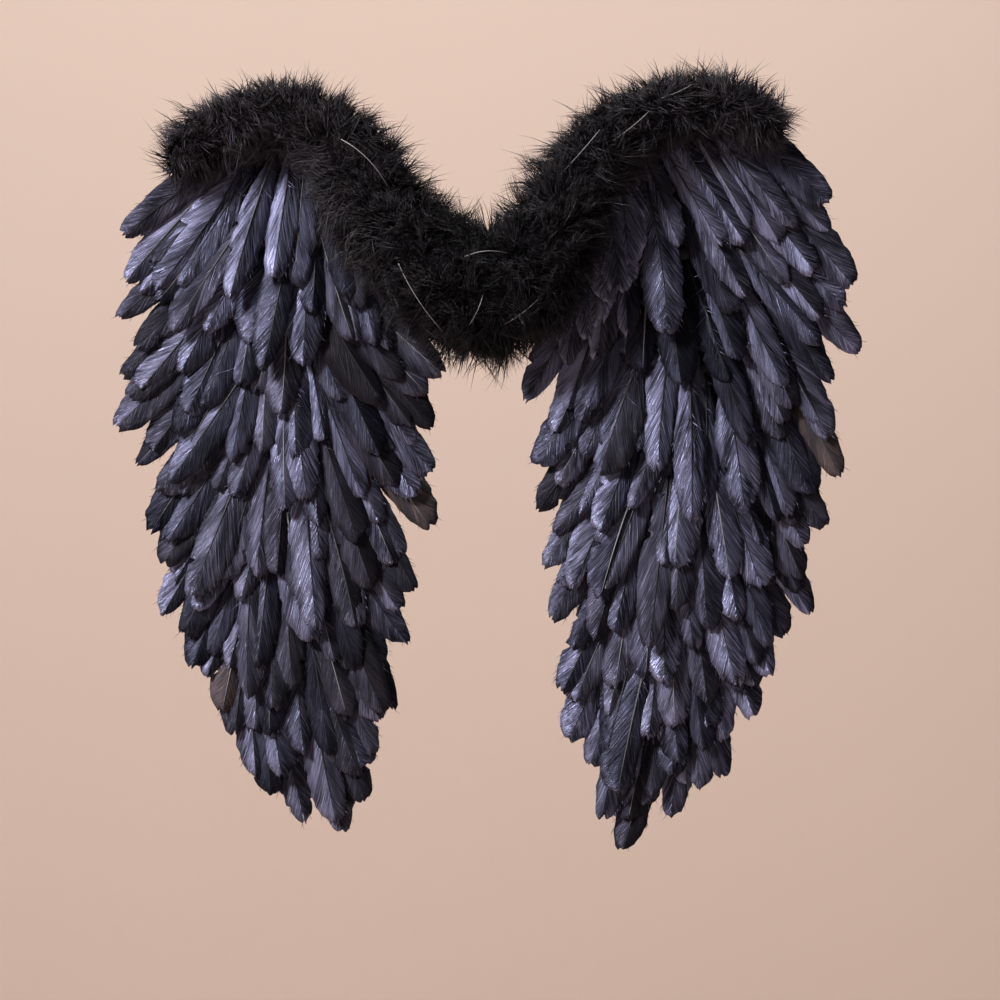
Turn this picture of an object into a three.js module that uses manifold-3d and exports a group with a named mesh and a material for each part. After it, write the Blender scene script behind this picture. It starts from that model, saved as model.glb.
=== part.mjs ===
// Costume angel wings of black feathers, with a fluffy marabou trim along the top.
// Millimetres. +Z is up, +X is the viewer's right, and the display side faces -Y.
// The origin lies on the back of the centre pad, where the wings rest on the wearer.
import * as THREE from 'three';
import { mergeVertices } from 'three/addons/utils/BufferGeometryUtils.js';
import Module from 'manifold-3d';

const wasm = await Module();
wasm.setup();

// Overall reach of the wings from the point where they are worn.
const HALF_SPAN = 225;
const DROP = 338;
const RISE = 124;

// Clearance between pieces that lie against each other, and the least one between feather rows.
const SEAT_GAP = 0.3;
const ROW_GAP = 0.45;

// Felt-covered boards and the pad that joins them.
const BOARD_THICK = 3;
const BOARD_MARGIN = 9;
const PAD_THICK = 3;
const PAD_HALF_WIDTH = 106;
const PAD_HALF_HEIGHT = 30;
const PAD_CORNER = 14;
const CUSHION_CLEAR = 8;
const CUSHION_RAISE = 2;
const CUSHION_INSET = 3;
const CUSHION_CORNER = 6;

// Feather blades, sewn to one tape in each row.
const FEATHER_LENGTH = 92;
const FEATHER_WIDTH = 26;
const FEATHER_THICK = 1.2;
const FEATHER_JITTER = 2.6;
const TAPE_HEIGHT = 7;
const TAPE_SKIN = 0.12;
const TAPE_OVERHANG = 1;

// Marabou: a soft core with locks of fluff around it.
const FLUFF_REACH = 45;
const CORE_DEPTH = 19;
const LOCK_WIDTH = 24;
const LOCK_SPACING = 23;
const CENTRE_HALF_WIDTH = 19;

// Elastic shoulder loops, hanging behind the boards.
const STRAP_WIDTH = 10;
const STRAP_THICK = 1.4;
const STRAP_INSET = 44;
const STRAP_ANCHOR_Z = 21;
const STRAP_REACH = 52;
const STRAP_DROP = 142;
const STRAP_CLEAR = 1;

// Rows of feathers from the top down. The tips of a row run from its outer to its inner tip.
// Columns: the outer tip's x as a share of HALF_SPAN and z as a share of DROP below the origin,
// the same two of the inner tip, the sag of the row's middle as a share of DROP, the number of
// feathers, the angles in degrees by which the outer and the inner feather point outwards, and
// their length as a share of FEATHER_LENGTH.
const LEFT_ROWS = [
  [0.979, -0.025, 0.379, 0.025, 0.018, 7, 44, -8, 1.12],
  [0.981, 0.066, 0.285, 0.098, 0.053, 8, 47, -14, 1.04],
  [0.984, 0.158, 0.117, 0.153, 0.060, 10, 46, -48, 1.00],
  [0.979, 0.252, 0.133, 0.247, 0.075, 10, 41, -40, 0.98],
  [0.912, 0.328, 0.144, 0.334, 0.082, 10, 41, -42, 0.96],
  [0.912, 0.417, 0.157, 0.435, 0.082, 9, 38, -36, 0.94],
  [0.869, 0.495, 0.184, 0.533, 0.078, 9, 32, -32, 0.92],
  [0.872, 0.573, 0.221, 0.630, 0.064, 8, 31, -33, 0.90],
  [0.771, 0.673, 0.235, 0.737, 0.053, 7, 17, -27, 0.89],
  [0.709, 0.751, 0.288, 0.827, 0.050, 5, 13, -23, 0.88],
  [0.637, 0.868, 0.315, 0.907, 0.025, 4, -2, -22, 0.86],
  [0.488, 0.948, 0.408, 0.971, 0.000, 2, -12, -7, 0.78],
];
const RIGHT_ROWS = [
  [0.912, -0.146, 0.349, 0.010, 0.004, 8, 48, 6, 1.00],
  [0.981, -0.007, 0.240, 0.101, 0.020, 9, 41, -2, 1.02],
  [1.003, 0.115, 0.107, 0.211, 0.021, 10, 45, -27, 1.02],
  [0.917, 0.238, 0.125, 0.311, 0.050, 10, 32, -31, 1.00],
  [0.931, 0.336, 0.139, 0.405, 0.060, 10, 27, -36, 0.98],
  [0.904, 0.422, 0.136, 0.495, 0.067, 9, 31, -38, 0.96],
  [0.845, 0.513, 0.181, 0.595, 0.060, 9, 23, -27, 0.94],
  [0.853, 0.582, 0.195, 0.714, 0.046, 8, 31, -25, 0.92],
  [0.749, 0.692, 0.235, 0.804, 0.021, 7, 18, -21, 0.90],
  [0.696, 0.763, 0.288, 0.932, 0.007, 5, 19, -14, 0.90],
  [0.616, 0.870, 0.333, 0.930, 0.014, 4, 9, -12, 0.88],
  [0.491, 0.944, 0.397, 1.001, 0.000, 2, -9, -8, 0.80],
];

// A feather's outline from root to tip: at is a share of its length, half a share of half
// its width, and thick a share of its thickness, which is the height of the ridge along its
// shaft above its flat back.
const BLADE = [
  { at: 0.00, half: 0.22, thick: 0.62 },
  { at: 0.34, half: 0.80, thick: 1.00 },
  { at: 0.68, half: 1.00, thick: 1.00 },
  { at: 0.90, half: 0.70, thick: 0.80 },
  { at: 1.00, half: 0.20, thick: 0.45 },
];

// The line of the marabou from its outer end to the spine: x is a share of HALF_SPAN, z a
// share of RISE above the origin, and reach a share of FLUFF_REACH.
const LEFT_TRIM = [
  { x: 0.835, z: 0.545, reach: 0.24 },
  { x: 0.771, z: 0.690, reach: 0.42 },
  { x: 0.664, z: 0.790, reach: 0.48 },
  { x: 0.539, z: 0.828, reach: 0.48 },
  { x: 0.432, z: 0.742, reach: 0.55 },
  { x: 0.360, z: 0.595, reach: 0.70 },
  { x: 0.296, z: 0.368, reach: 0.85 },
  { x: 0.227, z: 0.218, reach: 0.86 },
  { x: 0.136, z: 0.098, reach: 0.90 },
  { x: 0.020, z: 0.010, reach: 1.00 },
];
const RIGHT_TRIM = [
  { x: 0.780, z: 0.735, reach: 0.22 },
  { x: 0.728, z: 0.812, reach: 0.34 },
  { x: 0.627, z: 0.880, reach: 0.42 },
  { x: 0.515, z: 0.872, reach: 0.40 },
  { x: 0.413, z: 0.812, reach: 0.46 },
  { x: 0.317, z: 0.679, reach: 0.56 },
  { x: 0.237, z: 0.493, reach: 0.64 },
  { x: 0.173, z: 0.311, reach: 0.76 },
  { x: 0.115, z: 0.125, reach: 0.90 },
  { x: 0.020, z: 0.019, reach: 1.00 },
];

// The core's half height and the locks' reach, as shares of the reach of the fluff, and how
// far the locks stand out of the core towards the viewer, as a share of its half depth.
const CORE_SHARE = 0.74;
const LOCK_SHARE = 1.08;
const LOCK_FRONT = 1.42;

// A lock starts inside the core, at this share of the way to its tip.
const LOCK_START = 0.56;

// Angles of the locks around the core: 0 points at the viewer and 90 out of the top edge.
const LOCK_ANGLES = [-104, -52, 0, 52, 104];

// The drooping line of a shoulder loop: out is a share of STRAP_REACH away from the anchors,
// up a share of STRAP_ANCHOR_Z, down a share of STRAP_DROP, and flat is 1 where the band lies
// on the pad and 0 where it stands on edge.
const STRAP_LINE = [
  { out: 0.00, up: 1, down: 0.00, flat: 1.0 },
  { out: 0.25, up: 1, down: 0.00, flat: 1.0 },
  { out: 0.54, up: 0, down: -0.10, flat: 0.5 },
  { out: 0.80, up: 0, down: 0.08, flat: 0.0 },
  { out: 0.96, up: 0, down: 0.35, flat: 0.0 },
  { out: 1.00, up: 0, down: 0.65, flat: 0.0 },
  { out: 0.86, up: 0, down: 0.90, flat: 0.0 },
  { out: 0.60, up: 0, down: 1.00, flat: 0.0 },
  { out: 0.34, up: 0, down: 0.88, flat: 0.0 },
  { out: 0.18, up: 0, down: 0.62, flat: 0.0 },
  { out: 0.08, up: 0, down: 0.40, flat: 0.5 },
  { out: 0.01, up: -1, down: 0.06, flat: 1.0 },
  { out: 0.00, up: -0.4, down: 0.00, flat: 1.0 },
];
const STRAP_STEPS = 20;

// The pad's raised cushion ends short of where the loops are sewn on.
const CUSHION_HALF_WIDTH = PAD_HALF_WIDTH - STRAP_INSET - CUSHION_CLEAR;

// Depths from the wearer's back towards the viewer.
const PAD_FRONT = CUSHION_RAISE + PAD_THICK;
const BOARD_BACK = PAD_FRONT + SEAT_GAP;
const BOARD_FRONT = BOARD_BACK + BOARD_THICK;
const ROW_BACK = BOARD_FRONT + SEAT_GAP;
const ROW_THICK = 2 * FEATHER_THICK + SEAT_GAP + 2 * TAPE_SKIN;
const ROW_STEP = ROW_THICK + ROW_GAP;

const FEATHER_COLOUR = new THREE.MeshStandardMaterial({ color: 0x1b1c26, roughness: 0.45, metalness: 0 });
const FLUFF_COLOUR = new THREE.MeshStandardMaterial({ color: 0x0d0b0c, roughness: 0.95, metalness: 0 });
const FELT_COLOUR = new THREE.MeshStandardMaterial({ color: 0x141416, roughness: 1, metalness: 0 });
const ELASTIC_COLOUR = new THREE.MeshStandardMaterial({ color: 0x18181b, roughness: 0.8, metalness: 0 });

function lerp(from, to, share) {
  return from + (to - from) * share;
}

// A repeatable uneven number between -1 and 1.
function uneven(seed) {
  const wave = Math.sin(seed * 127.1 + 311.7) * 43758.5453;
  return 2 * (wave - Math.floor(wave)) - 1;
}

// A closed skin through rings that have the same number of points, with a fan at each end.
function loft(rings) {
  const size = rings[0].length;
  const points = rings.flat();
  const faces = [];
  for (let row = 0; row + 1 < rings.length; row += 1) {
    for (let side = 0; side < size; side += 1) {
      const a = row * size + side;
      const b = row * size + (side + 1) % size;
      faces.push(a, b, b + size, a, b + size, a + size);
    }
  }
  const last = (rings.length - 1) * size;
  for (let side = 1; side + 1 < size; side += 1) {
    faces.push(0, side + 1, side);
    faces.push(last, last + side, last + side + 1);
  }
  return closedGeometry(points, faces);
}

// Turns points and faces into a geometry whose faces point out.
function closedGeometry(points, faces) {
  const normal = new THREE.Vector3();
  let volume = 0;
  for (let face = 0; face < faces.length; face += 3) {
    normal.crossVectors(points[faces[face]], points[faces[face + 1]]);
    volume += normal.dot(points[faces[face + 2]]);
  }
  if (volume < 0) {
    faces.reverse();
  }
  const geometry = new THREE.BufferGeometry().setFromPoints(points);
  geometry.setIndex(faces);
  return geometry;
}

function toSolid(geometry) {
  const bare = geometry.clone();
  bare.deleteAttribute('normal');
  bare.deleteAttribute('uv');
  const merged = mergeVertices(bare, 1e-4);
  return new wasm.Manifold(new wasm.Mesh({
    numProp: 3,
    vertProperties: new Float32Array(merged.attributes.position.array),
    triVerts: new Uint32Array(merged.index.array),
  }));
}

function toGeometry(solid) {
  const mesh = solid.getMesh();
  const geometry = new THREE.BufferGeometry();
  geometry.setAttribute('position', new THREE.BufferAttribute(new Float32Array(mesh.vertProperties), 3));
  geometry.setIndex(new THREE.BufferAttribute(new Uint32Array(mesh.triVerts), 1));
  return geometry;
}

function fuse(geometries) {
  return geometries.map(toSolid).reduce((whole, next) => whole.add(next));
}

// The largest outer skin of a solid, filled, without the small hollows between its locks.
function outerSkin(solid) {
  return solid.decompose().reduce((best, next) => (next.volume() > best.volume() ? next : best));
}

function addMesh(group, name, geometry, material) {
  geometry.computeVertexNormals();
  const mesh = new THREE.Mesh(geometry, material);
  mesh.name = name;
  group.add(mesh);
}

// The root and tip of each feather in a row, on the plan of the wing.
function rowPlan([outX, outZ, inX, inZ, sag, count, outLean, inLean, long], side) {
  const tips = [];
  for (let i = 0; i < count; i += 1) {
    const share = i / (count - 1);
    const bow = sag * 4 * share * (1 - share);
    tips.push({
      share,
      lean: THREE.MathUtils.degToRad(lerp(outLean, inLean, share)),
      x: side * HALF_SPAN * lerp(outX, inX, share),
      z: -DROP * (lerp(outZ, inZ, share) + bow),
    });
  }
  const length = FEATHER_LENGTH * long;
  const rootOf = (tip) => ({
    x: tip.x - side * length * Math.sin(tip.lean),
    z: tip.z + length * Math.cos(tip.lean),
  });
  const outer = rootOf(tips[0]);
  const inner = rootOf(tips[tips.length - 1]);
  return { side, tips, outer, inner, top: Math.max(outer.z, inner.z) + TAPE_HEIGHT / 2 };
}

const leftPlans = LEFT_ROWS.map((row) => rowPlan(row, -1));
const rightPlans = RIGHT_ROWS.map((row) => rowPlan(row, 1));

// Every row leans out from its board by the same slope, steep enough to clear the row below.
function leastRise(plans) {
  return Math.min(...plans.slice(1).map((plan, i) => plans[i].top - plan.top));
}
const SLOPE = ROW_STEP / Math.min(leastRise(leftPlans), leastRise(rightPlans));

// The depth of a row's back at a height.
function rowDepth(plan, z) {
  return ROW_BACK + SLOPE * (plan.top - z);
}

function featherBlade(plan, tip, index, seed) {
  const root = {
    x: lerp(plan.outer.x, plan.inner.x, tip.share),
    z: lerp(plan.outer.z, plan.inner.z, tip.share),
  };
  const reach = new THREE.Vector2(tip.x - root.x, tip.z - root.z);
  const isEnd = index === 0 || index === plan.tips.length - 1;
  const length = reach.length() + (isEnd ? 0 : FEATHER_JITTER * uneven(seed));
  const along = reach.clone().normalize();
  const across = new THREE.Vector2(-along.y, along.x);
  const half = FEATHER_WIDTH / 2 * (1 + 0.08 * uneven(seed + 0.5));
  const layer = TAPE_SKIN + (index % 2) * (FEATHER_THICK + SEAT_GAP);
  const rings = BLADE.map((station) => {
    const centre = new THREE.Vector2(root.x, root.z).addScaledVector(along, length * station.at);
    return [[1, 0], [0, 1], [-1, 0]].map(([edge, ridge]) => {
      const spot = centre.clone().addScaledVector(across, edge * half * station.half);
      const rise = layer + ridge * FEATHER_THICK * station.thick;
      return new THREE.Vector3(spot.x, -(rowDepth(plan, spot.y) + rise), spot.y);
    });
  });
  return loft(rings);
}

function tapeBar(plan) {
  const overhang = FEATHER_WIDTH / 2 * BLADE[0].half + TAPE_OVERHANG;
  const step = plan.side * overhang;
  const rings = [
    { x: plan.outer.x + step, z: plan.outer.z },
    { x: plan.inner.x - step, z: plan.inner.z },
  ].map((end) => [[0, 1], [1, 1], [1, -1], [0, -1]].map(([front, up]) => {
    const z = end.z + up * TAPE_HEIGHT / 2;
    return new THREE.Vector3(end.x, -(rowDepth(plan, z) + front * ROW_THICK), z);
  }));
  return loft(rings);
}

function featherRow(plan, rowIndex) {
  const blades = plan.tips.map((tip, i) => featherBlade(plan, tip, i, rowIndex * 17 + i * 3 + plan.side));
  return toGeometry(fuse([tapeBar(plan), ...blades]));
}

// A board follows the ends of the tapes in smooth lines, one margin outside them.
function boardGeometry(plans) {
  const side = plans[0].side;
  const outer = plans.map((plan) => new THREE.Vector2(plan.outer.x + side * BOARD_MARGIN, plan.outer.z));
  const inner = plans.map((plan) => new THREE.Vector2(plan.inner.x - side * BOARD_MARGIN, plan.inner.z));
  const first = plans[0];
  const last = plans[plans.length - 1];
  outer.unshift(new THREE.Vector2(first.outer.x, first.outer.z + BOARD_MARGIN));
  inner.unshift(new THREE.Vector2(first.inner.x, first.inner.z + BOARD_MARGIN));
  outer.push(new THREE.Vector2(last.outer.x, last.outer.z - BOARD_MARGIN));
  inner.push(new THREE.Vector2(last.inner.x, last.inner.z - BOARD_MARGIN));
  const edges = [outer, inner.reverse()].map((edge) => new THREE.SplineCurve(edge).getPoints(edge.length));
  return slab(new THREE.Shape(edges.flat()), BOARD_BACK, BOARD_THICK);
}

// A flat sheet with its back at a depth and its outline in the plane of the wings.
function slab(outline, back, thick) {
  const geometry = new THREE.ExtrudeGeometry(outline, { depth: thick, bevelEnabled: false, curveSegments: 5 });
  geometry.rotateX(Math.PI / 2);
  geometry.translate(0, -back, 0);
  return geometry;
}

// The pad is a felt band with a thicker cushion in its middle, whose back is the origin's plane.
function padGeometry() {
  const band = slab(roundedPlate(PAD_HALF_WIDTH, PAD_HALF_HEIGHT, PAD_CORNER), CUSHION_RAISE, PAD_THICK);
  const patch = roundedPlate(CUSHION_HALF_WIDTH, PAD_HALF_HEIGHT - CUSHION_INSET, CUSHION_CORNER);
  const cushion = slab(patch, 0, CUSHION_RAISE + PAD_THICK / 2);
  return toGeometry(fuse([band, cushion]));
}

function roundedPlate(halfWidth, halfHeight, corner) {
  const outline = new THREE.Shape();
  [[1, -1, -0.5], [1, 1, 0], [-1, 1, 0.5], [-1, -1, 1]].forEach(([across, up, turn]) => {
    const x = across * (halfWidth - corner);
    const z = up * (halfHeight - corner);
    outline.absarc(x, z, corner, turn * Math.PI, (turn + 0.5) * Math.PI);
  });
  return outline;
}

// The marabou lies on the top row of feathers, and at the spine on the pad.
function trimStations(table, side, plans) {
  const curve = new THREE.CatmullRomCurve3(table.map((spot) => new THREE.Vector3(
    side * HALF_SPAN * spot.x,
    FLUFF_REACH * spot.reach,
    RISE * spot.z,
  )), false, 'centripetal');
  const count = Math.round(curve.getLength() / LOCK_SPACING) + 1;
  return curve.getSpacedPoints(count - 1).map((point, i) => {
    const tangent = curve.getTangentAt(i / (count - 1)).setY(0).normalize();
    const station = trimStation(point.x, point.z, point.y, tangent, side);
    const bed = restDepth(plans, point.z) + Math.hypot(station.deep, SLOPE * station.tall) + SEAT_GAP;
    station.centre.y = -bed;
    return station;
  });
}

function trimStation(x, z, reach, along, side) {
  return {
    centre: new THREE.Vector3(x, 0, z),
    along,
    out: new THREE.Vector3(-along.z, 0, along.x).multiplyScalar(-side),
    reach,
    tall: CORE_SHARE * reach,
    deep: CORE_DEPTH * Math.sqrt(reach / FLUFF_REACH),
  };
}

// The depth that clears the front of the top row of feathers at a height.
function restDepth(plans, z) {
  return rowDepth(plans[0], Math.min(z, plans[0].top)) + ROW_THICK;
}

function trimCore(stations) {
  const sides = 8;
  const rings = stations.map((station) => {
    const ring = [];
    for (let i = 0; i < sides; i += 1) {
      const angle = 2 * Math.PI * (i + 0.5) / sides;
      const spot = station.centre.clone().addScaledVector(station.out, station.tall * Math.sin(angle));
      spot.y += station.deep * Math.cos(angle);
      ring.push(spot);
    }
    return ring;
  });
  return loft(rings);
}

function trimLocks(stations, seed) {
  const locks = [];
  stations.forEach((station, i) => {
    LOCK_ANGLES.forEach((degrees, j) => {
      const mark = seed + i * 7.3 + j * 1.9;
      const angle = THREE.MathUtils.degToRad(degrees + 9 * uneven(mark) + (i % 2) * 24 - 12);
      const stretch = 1 + 0.1 * uneven(mark + 0.3);
      const shaft = station.out.clone().multiplyScalar(Math.sin(angle) * station.reach * LOCK_SHARE * stretch);
      shaft.y = -Math.cos(angle) * station.deep * LOCK_FRONT * stretch;
      const drift = i === 0 ? -0.75 : 0.35 * uneven(mark + 0.7);
      shaft.addScaledVector(station.along, drift * station.reach);
      const sideways = new THREE.Vector3().crossVectors(shaft, station.along).normalize();
      const half = LOCK_WIDTH / 2 * Math.sqrt(station.reach / FLUFF_REACH);
      const start = station.centre.clone().addScaledVector(shaft, LOCK_START);
      const ring = [[1, 0], [0, 1], [-1, 0], [0, -1]].map(([across, on]) => start.clone()
        .addScaledVector(sideways, half * across)
        .addScaledVector(station.along, half * on));
      locks.push(spike(ring, station.centre.clone().add(shaft)));
    });
  });
  return locks;
}

// A pyramid on a ring of points.
function spike(ring, tip) {
  const faces = [];
  for (let side = 0; side < ring.length; side += 1) {
    faces.push(side, (side + 1) % ring.length, ring.length);
  }
  for (let side = 1; side + 1 < ring.length; side += 1) {
    faces.push(0, side + 1, side);
  }
  return closedGeometry([...ring, tip], faces);
}

// A tall block between two widths, used to part the marabou at the ends of its centre piece.
function partingBlock(low, high) {
  const tall = 4 * (RISE + FLUFF_REACH);
  const block = new THREE.BoxGeometry(high - low, tall, tall);
  block.translate((low + high) / 2, 0, 0);
  return toSolid(block);
}

// Everything behind a row's front is cleared, so that the fluff lies on the feathers.
function bedBlock(plans) {
  const wide = 4 * HALF_SPAN;
  const low = -DROP;
  const high = 2 * RISE;
  const top = plans[0].top;
  const rings = [-wide, wide].map((x) => [
    new THREE.Vector3(x, 2 * DROP, low),
    new THREE.Vector3(x, -(restDepth(plans, low) + SEAT_GAP), low),
    new THREE.Vector3(x, -(restDepth(plans, top) + SEAT_GAP), top),
    new THREE.Vector3(x, -(restDepth(plans, top) + SEAT_GAP), high),
    new THREE.Vector3(x, 2 * DROP, high),
  ]);
  return toSolid(loft(rings));
}

function strapGeometry(side) {
  const curve = new THREE.CatmullRomCurve3(STRAP_LINE.map((mark) => new THREE.Vector3(
    side * (PAD_HALF_WIDTH - STRAP_INSET + STRAP_REACH * mark.out),
    mark.flat,
    STRAP_ANCHOR_Z * mark.up - STRAP_DROP * mark.down,
  )), false, 'centripetal');
  const rings = curve.getSpacedPoints(STRAP_STEPS).map((point, i) => {
    const tangent = curve.getTangentAt(i / STRAP_STEPS).setY(0).normalize();
    const turn = THREE.MathUtils.clamp(point.y, 0, 1) * Math.PI / 2;
    const inPlane = new THREE.Vector3(-tangent.z, 0, tangent.x);
    const wide = inPlane.clone().multiplyScalar(Math.sin(turn)).add(new THREE.Vector3(0, Math.cos(turn), 0));
    const thin = new THREE.Vector3().crossVectors(tangent, wide).normalize();
    const halfDepth = Math.abs(wide.y) * STRAP_WIDTH / 2 + Math.abs(thin.y) * STRAP_THICK / 2;
    const depth = halfDepth + lerp(STRAP_CLEAR, SEAT_GAP, Math.sin(turn)) - CUSHION_RAISE;
    const centre = new THREE.Vector3(point.x, depth, point.z);
    return [[1, 1], [-1, 1], [-1, -1], [1, -1]].map(([across, through]) => centre.clone()
      .addScaledVector(wide, across * STRAP_WIDTH / 2)
      .addScaledVector(thin, through * STRAP_THICK / 2));
  });
  return loft(rings);
}

const wings = new THREE.Group();
addMesh(wings, 'centre_pad', padGeometry(), FELT_COLOUR);

const SIDES = [
  { name: 'left', side: -1, plans: leftPlans, table: LEFT_TRIM, seed: 2.1 },
  { name: 'right', side: 1, plans: rightPlans, table: RIGHT_TRIM, seed: 5.4 },
];
const TRIM_START = CENTRE_HALF_WIDTH + SEAT_GAP;

SIDES.forEach(({ name, side, plans, table, seed }) => {
  addMesh(wings, `${name}_backing`, boardGeometry(plans), FELT_COLOUR);
  plans.forEach((plan, i) => {
    const label = String(i + 1).padStart(2, '0');
    addMesh(wings, `${name}_feathers_${label}`, featherRow(plan, i), FEATHER_COLOUR);
  });
  const stations = trimStations(table, side, plans);
  const outside = stations.filter((station) => Math.abs(station.centre.x) > TRIM_START);
  const whole = fuse([trimCore(stations), ...trimLocks(outside, seed)]).subtract(bedBlock(plans));
  const far = 4 * HALF_SPAN;
  const kept = side < 0 ? partingBlock(-far, -TRIM_START) : partingBlock(TRIM_START, far);
  addMesh(wings, `${name}_marabou`, toGeometry(outerSkin(whole.intersect(kept))), FLUFF_COLOUR);
  addMesh(wings, `${name}_shoulder_loop`, strapGeometry(side), ELASTIC_COLOUR);
});

// The centre of the marabou spans the spine between the two sides and sits on the pad.
function centreMarabou() {
  const fronts = SIDES.map(({ side, plans, table }) => {
    const stations = trimStations(table, side, plans);
    return stations[stations.length - 1].centre.y;
  });
  const front = Math.min(...fronts) - CORE_DEPTH;
  const deep = (-front - PAD_FRONT - SEAT_GAP) / 2;
  const stationAt = (share) => {
    const station = trimStation(share * CENTRE_HALF_WIDTH, 0, FLUFF_REACH, new THREE.Vector3(1, 0, 0), -1);
    station.centre.y = front + deep;
    station.deep = deep;
    return station;
  };
  const core = trimCore([-1.5, 0, 1.5].map(stationAt));
  const locks = trimLocks([-0.8, 0, 0.8].map(stationAt), 9.2);
  const whole = fuse([core, ...locks]);
  return outerSkin(whole.intersect(partingBlock(-CENTRE_HALF_WIDTH, CENTRE_HALF_WIDTH)));
}
addMesh(wings, 'centre_marabou', toGeometry(centreMarabou()), FLUFF_COLOUR);

export default wings;
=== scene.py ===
"""Black feather wings for fancy dress, with a fluffy marabou trim and elastic shoulder loops."""

import math

import bmesh
import bpy
import numpy as np
from bpy.props import FloatProperty, FloatVectorProperty, IntProperty, PointerProperty
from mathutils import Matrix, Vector, noise
from mathutils.bvhtree import BVHTree


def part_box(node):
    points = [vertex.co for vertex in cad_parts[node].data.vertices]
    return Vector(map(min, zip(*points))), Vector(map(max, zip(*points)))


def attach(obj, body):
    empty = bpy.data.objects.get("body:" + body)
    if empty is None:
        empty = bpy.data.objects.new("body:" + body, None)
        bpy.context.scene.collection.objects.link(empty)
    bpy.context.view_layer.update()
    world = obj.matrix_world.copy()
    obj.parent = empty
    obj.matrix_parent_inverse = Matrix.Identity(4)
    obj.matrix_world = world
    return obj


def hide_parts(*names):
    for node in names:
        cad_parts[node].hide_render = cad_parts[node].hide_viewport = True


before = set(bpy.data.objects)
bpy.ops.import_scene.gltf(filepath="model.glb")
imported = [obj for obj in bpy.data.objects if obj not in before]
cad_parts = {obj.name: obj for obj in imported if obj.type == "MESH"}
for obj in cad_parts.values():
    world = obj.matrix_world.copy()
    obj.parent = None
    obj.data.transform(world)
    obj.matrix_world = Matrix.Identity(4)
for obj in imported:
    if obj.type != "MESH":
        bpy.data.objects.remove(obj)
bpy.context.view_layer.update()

bl_info = {
    "name": "Feathered wings",
    "version": (1, 0, 0),
    "blender": (4, 5, 0),
    "location": "3D View > Sidebar > Wings",
    "description": "Builds black costume wings of feathers and marabou",
    "category": "Add Mesh",
}

BODY = "root"
MM = 0.001

# Sizes shared with the wings' construction, in millimetres.
HALF_SPAN = 225
DROP = 338
RISE = 124
SEAT_GAP = 0.3
ROW_GAP = 0.45
PAD_FRONT = 5
FELT_THICK = 3
ROW_BACK = PAD_FRONT + SEAT_GAP + FELT_THICK + SEAT_GAP
FEATHER_LENGTH = 92
FEATHER_WIDTH = 26
FEATHER_THICK = 1.2
TAPE_HEIGHT = 7
TAPE_SKIN = 0.12
TAPE_REACH = FEATHER_WIDTH * 0.11 + 1
ROW_THICK = 2 * FEATHER_THICK + SEAT_GAP + 2 * TAPE_SKIN
ROW_STEP = ROW_THICK + ROW_GAP
PAD_HALF_WIDTH = 106
CUSHION_RAISE = 2
STRAP_INSET = 44
STRAP_ANCHOR_Z = 21
STRAP_REACH = 52
STRAP_DROP = 142
STRAP_CLEAR = 1
FLUFF_REACH = 45
CORE_SHARE = 0.74
CORE_DEPTH = 19
CENTRE_HALF_WIDTH = 19

# Rows of feathers from the top down: the outer tip's share of HALF_SPAN and of DROP, the inner
# tip's, the sag of the middle, the count, the outer and inner lean in degrees, and the length.
LEFT_ROWS = (
    (0.979, -0.025, 0.379, 0.025, 0.018, 7, 44, -8, 1.12),
    (0.981, 0.066, 0.285, 0.098, 0.053, 8, 47, -14, 1.04),
    (0.984, 0.158, 0.117, 0.153, 0.060, 10, 46, -48, 1.00),
    (0.979, 0.252, 0.133, 0.247, 0.075, 10, 41, -40, 0.98),
    (0.912, 0.328, 0.144, 0.334, 0.082, 10, 41, -42, 0.96),
    (0.912, 0.417, 0.157, 0.435, 0.082, 9, 38, -36, 0.94),
    (0.869, 0.495, 0.184, 0.533, 0.078, 9, 32, -32, 0.92),
    (0.872, 0.573, 0.221, 0.630, 0.064, 8, 31, -33, 0.90),
    (0.771, 0.673, 0.235, 0.737, 0.053, 7, 17, -27, 0.89),
    (0.709, 0.751, 0.288, 0.827, 0.050, 5, 13, -23, 0.88),
    (0.637, 0.868, 0.315, 0.907, 0.025, 4, -2, -22, 0.86),
    (0.488, 0.948, 0.408, 0.971, 0.000, 2, -12, -7, 0.78),
)
RIGHT_ROWS = (
    (0.912, -0.146, 0.349, 0.010, 0.004, 8, 48, 6, 1.00),
    (0.981, -0.007, 0.240, 0.101, 0.020, 9, 41, -2, 1.02),
    (1.003, 0.115, 0.107, 0.211, 0.021, 10, 45, -27, 1.02),
    (0.917, 0.238, 0.125, 0.311, 0.050, 10, 32, -31, 1.00),
    (0.931, 0.336, 0.139, 0.405, 0.060, 10, 27, -36, 0.98),
    (0.904, 0.422, 0.136, 0.495, 0.067, 9, 31, -38, 0.96),
    (0.845, 0.513, 0.181, 0.595, 0.060, 9, 23, -27, 0.94),
    (0.853, 0.582, 0.195, 0.714, 0.046, 8, 31, -25, 0.92),
    (0.749, 0.692, 0.235, 0.804, 0.021, 7, 18, -21, 0.90),
    (0.696, 0.763, 0.288, 0.932, 0.007, 5, 19, -14, 0.90),
    (0.616, 0.870, 0.333, 0.930, 0.014, 4, 9, -12, 0.88),
    (0.491, 0.944, 0.397, 1.001, 0.000, 2, -9, -8, 0.80),
)

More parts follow.
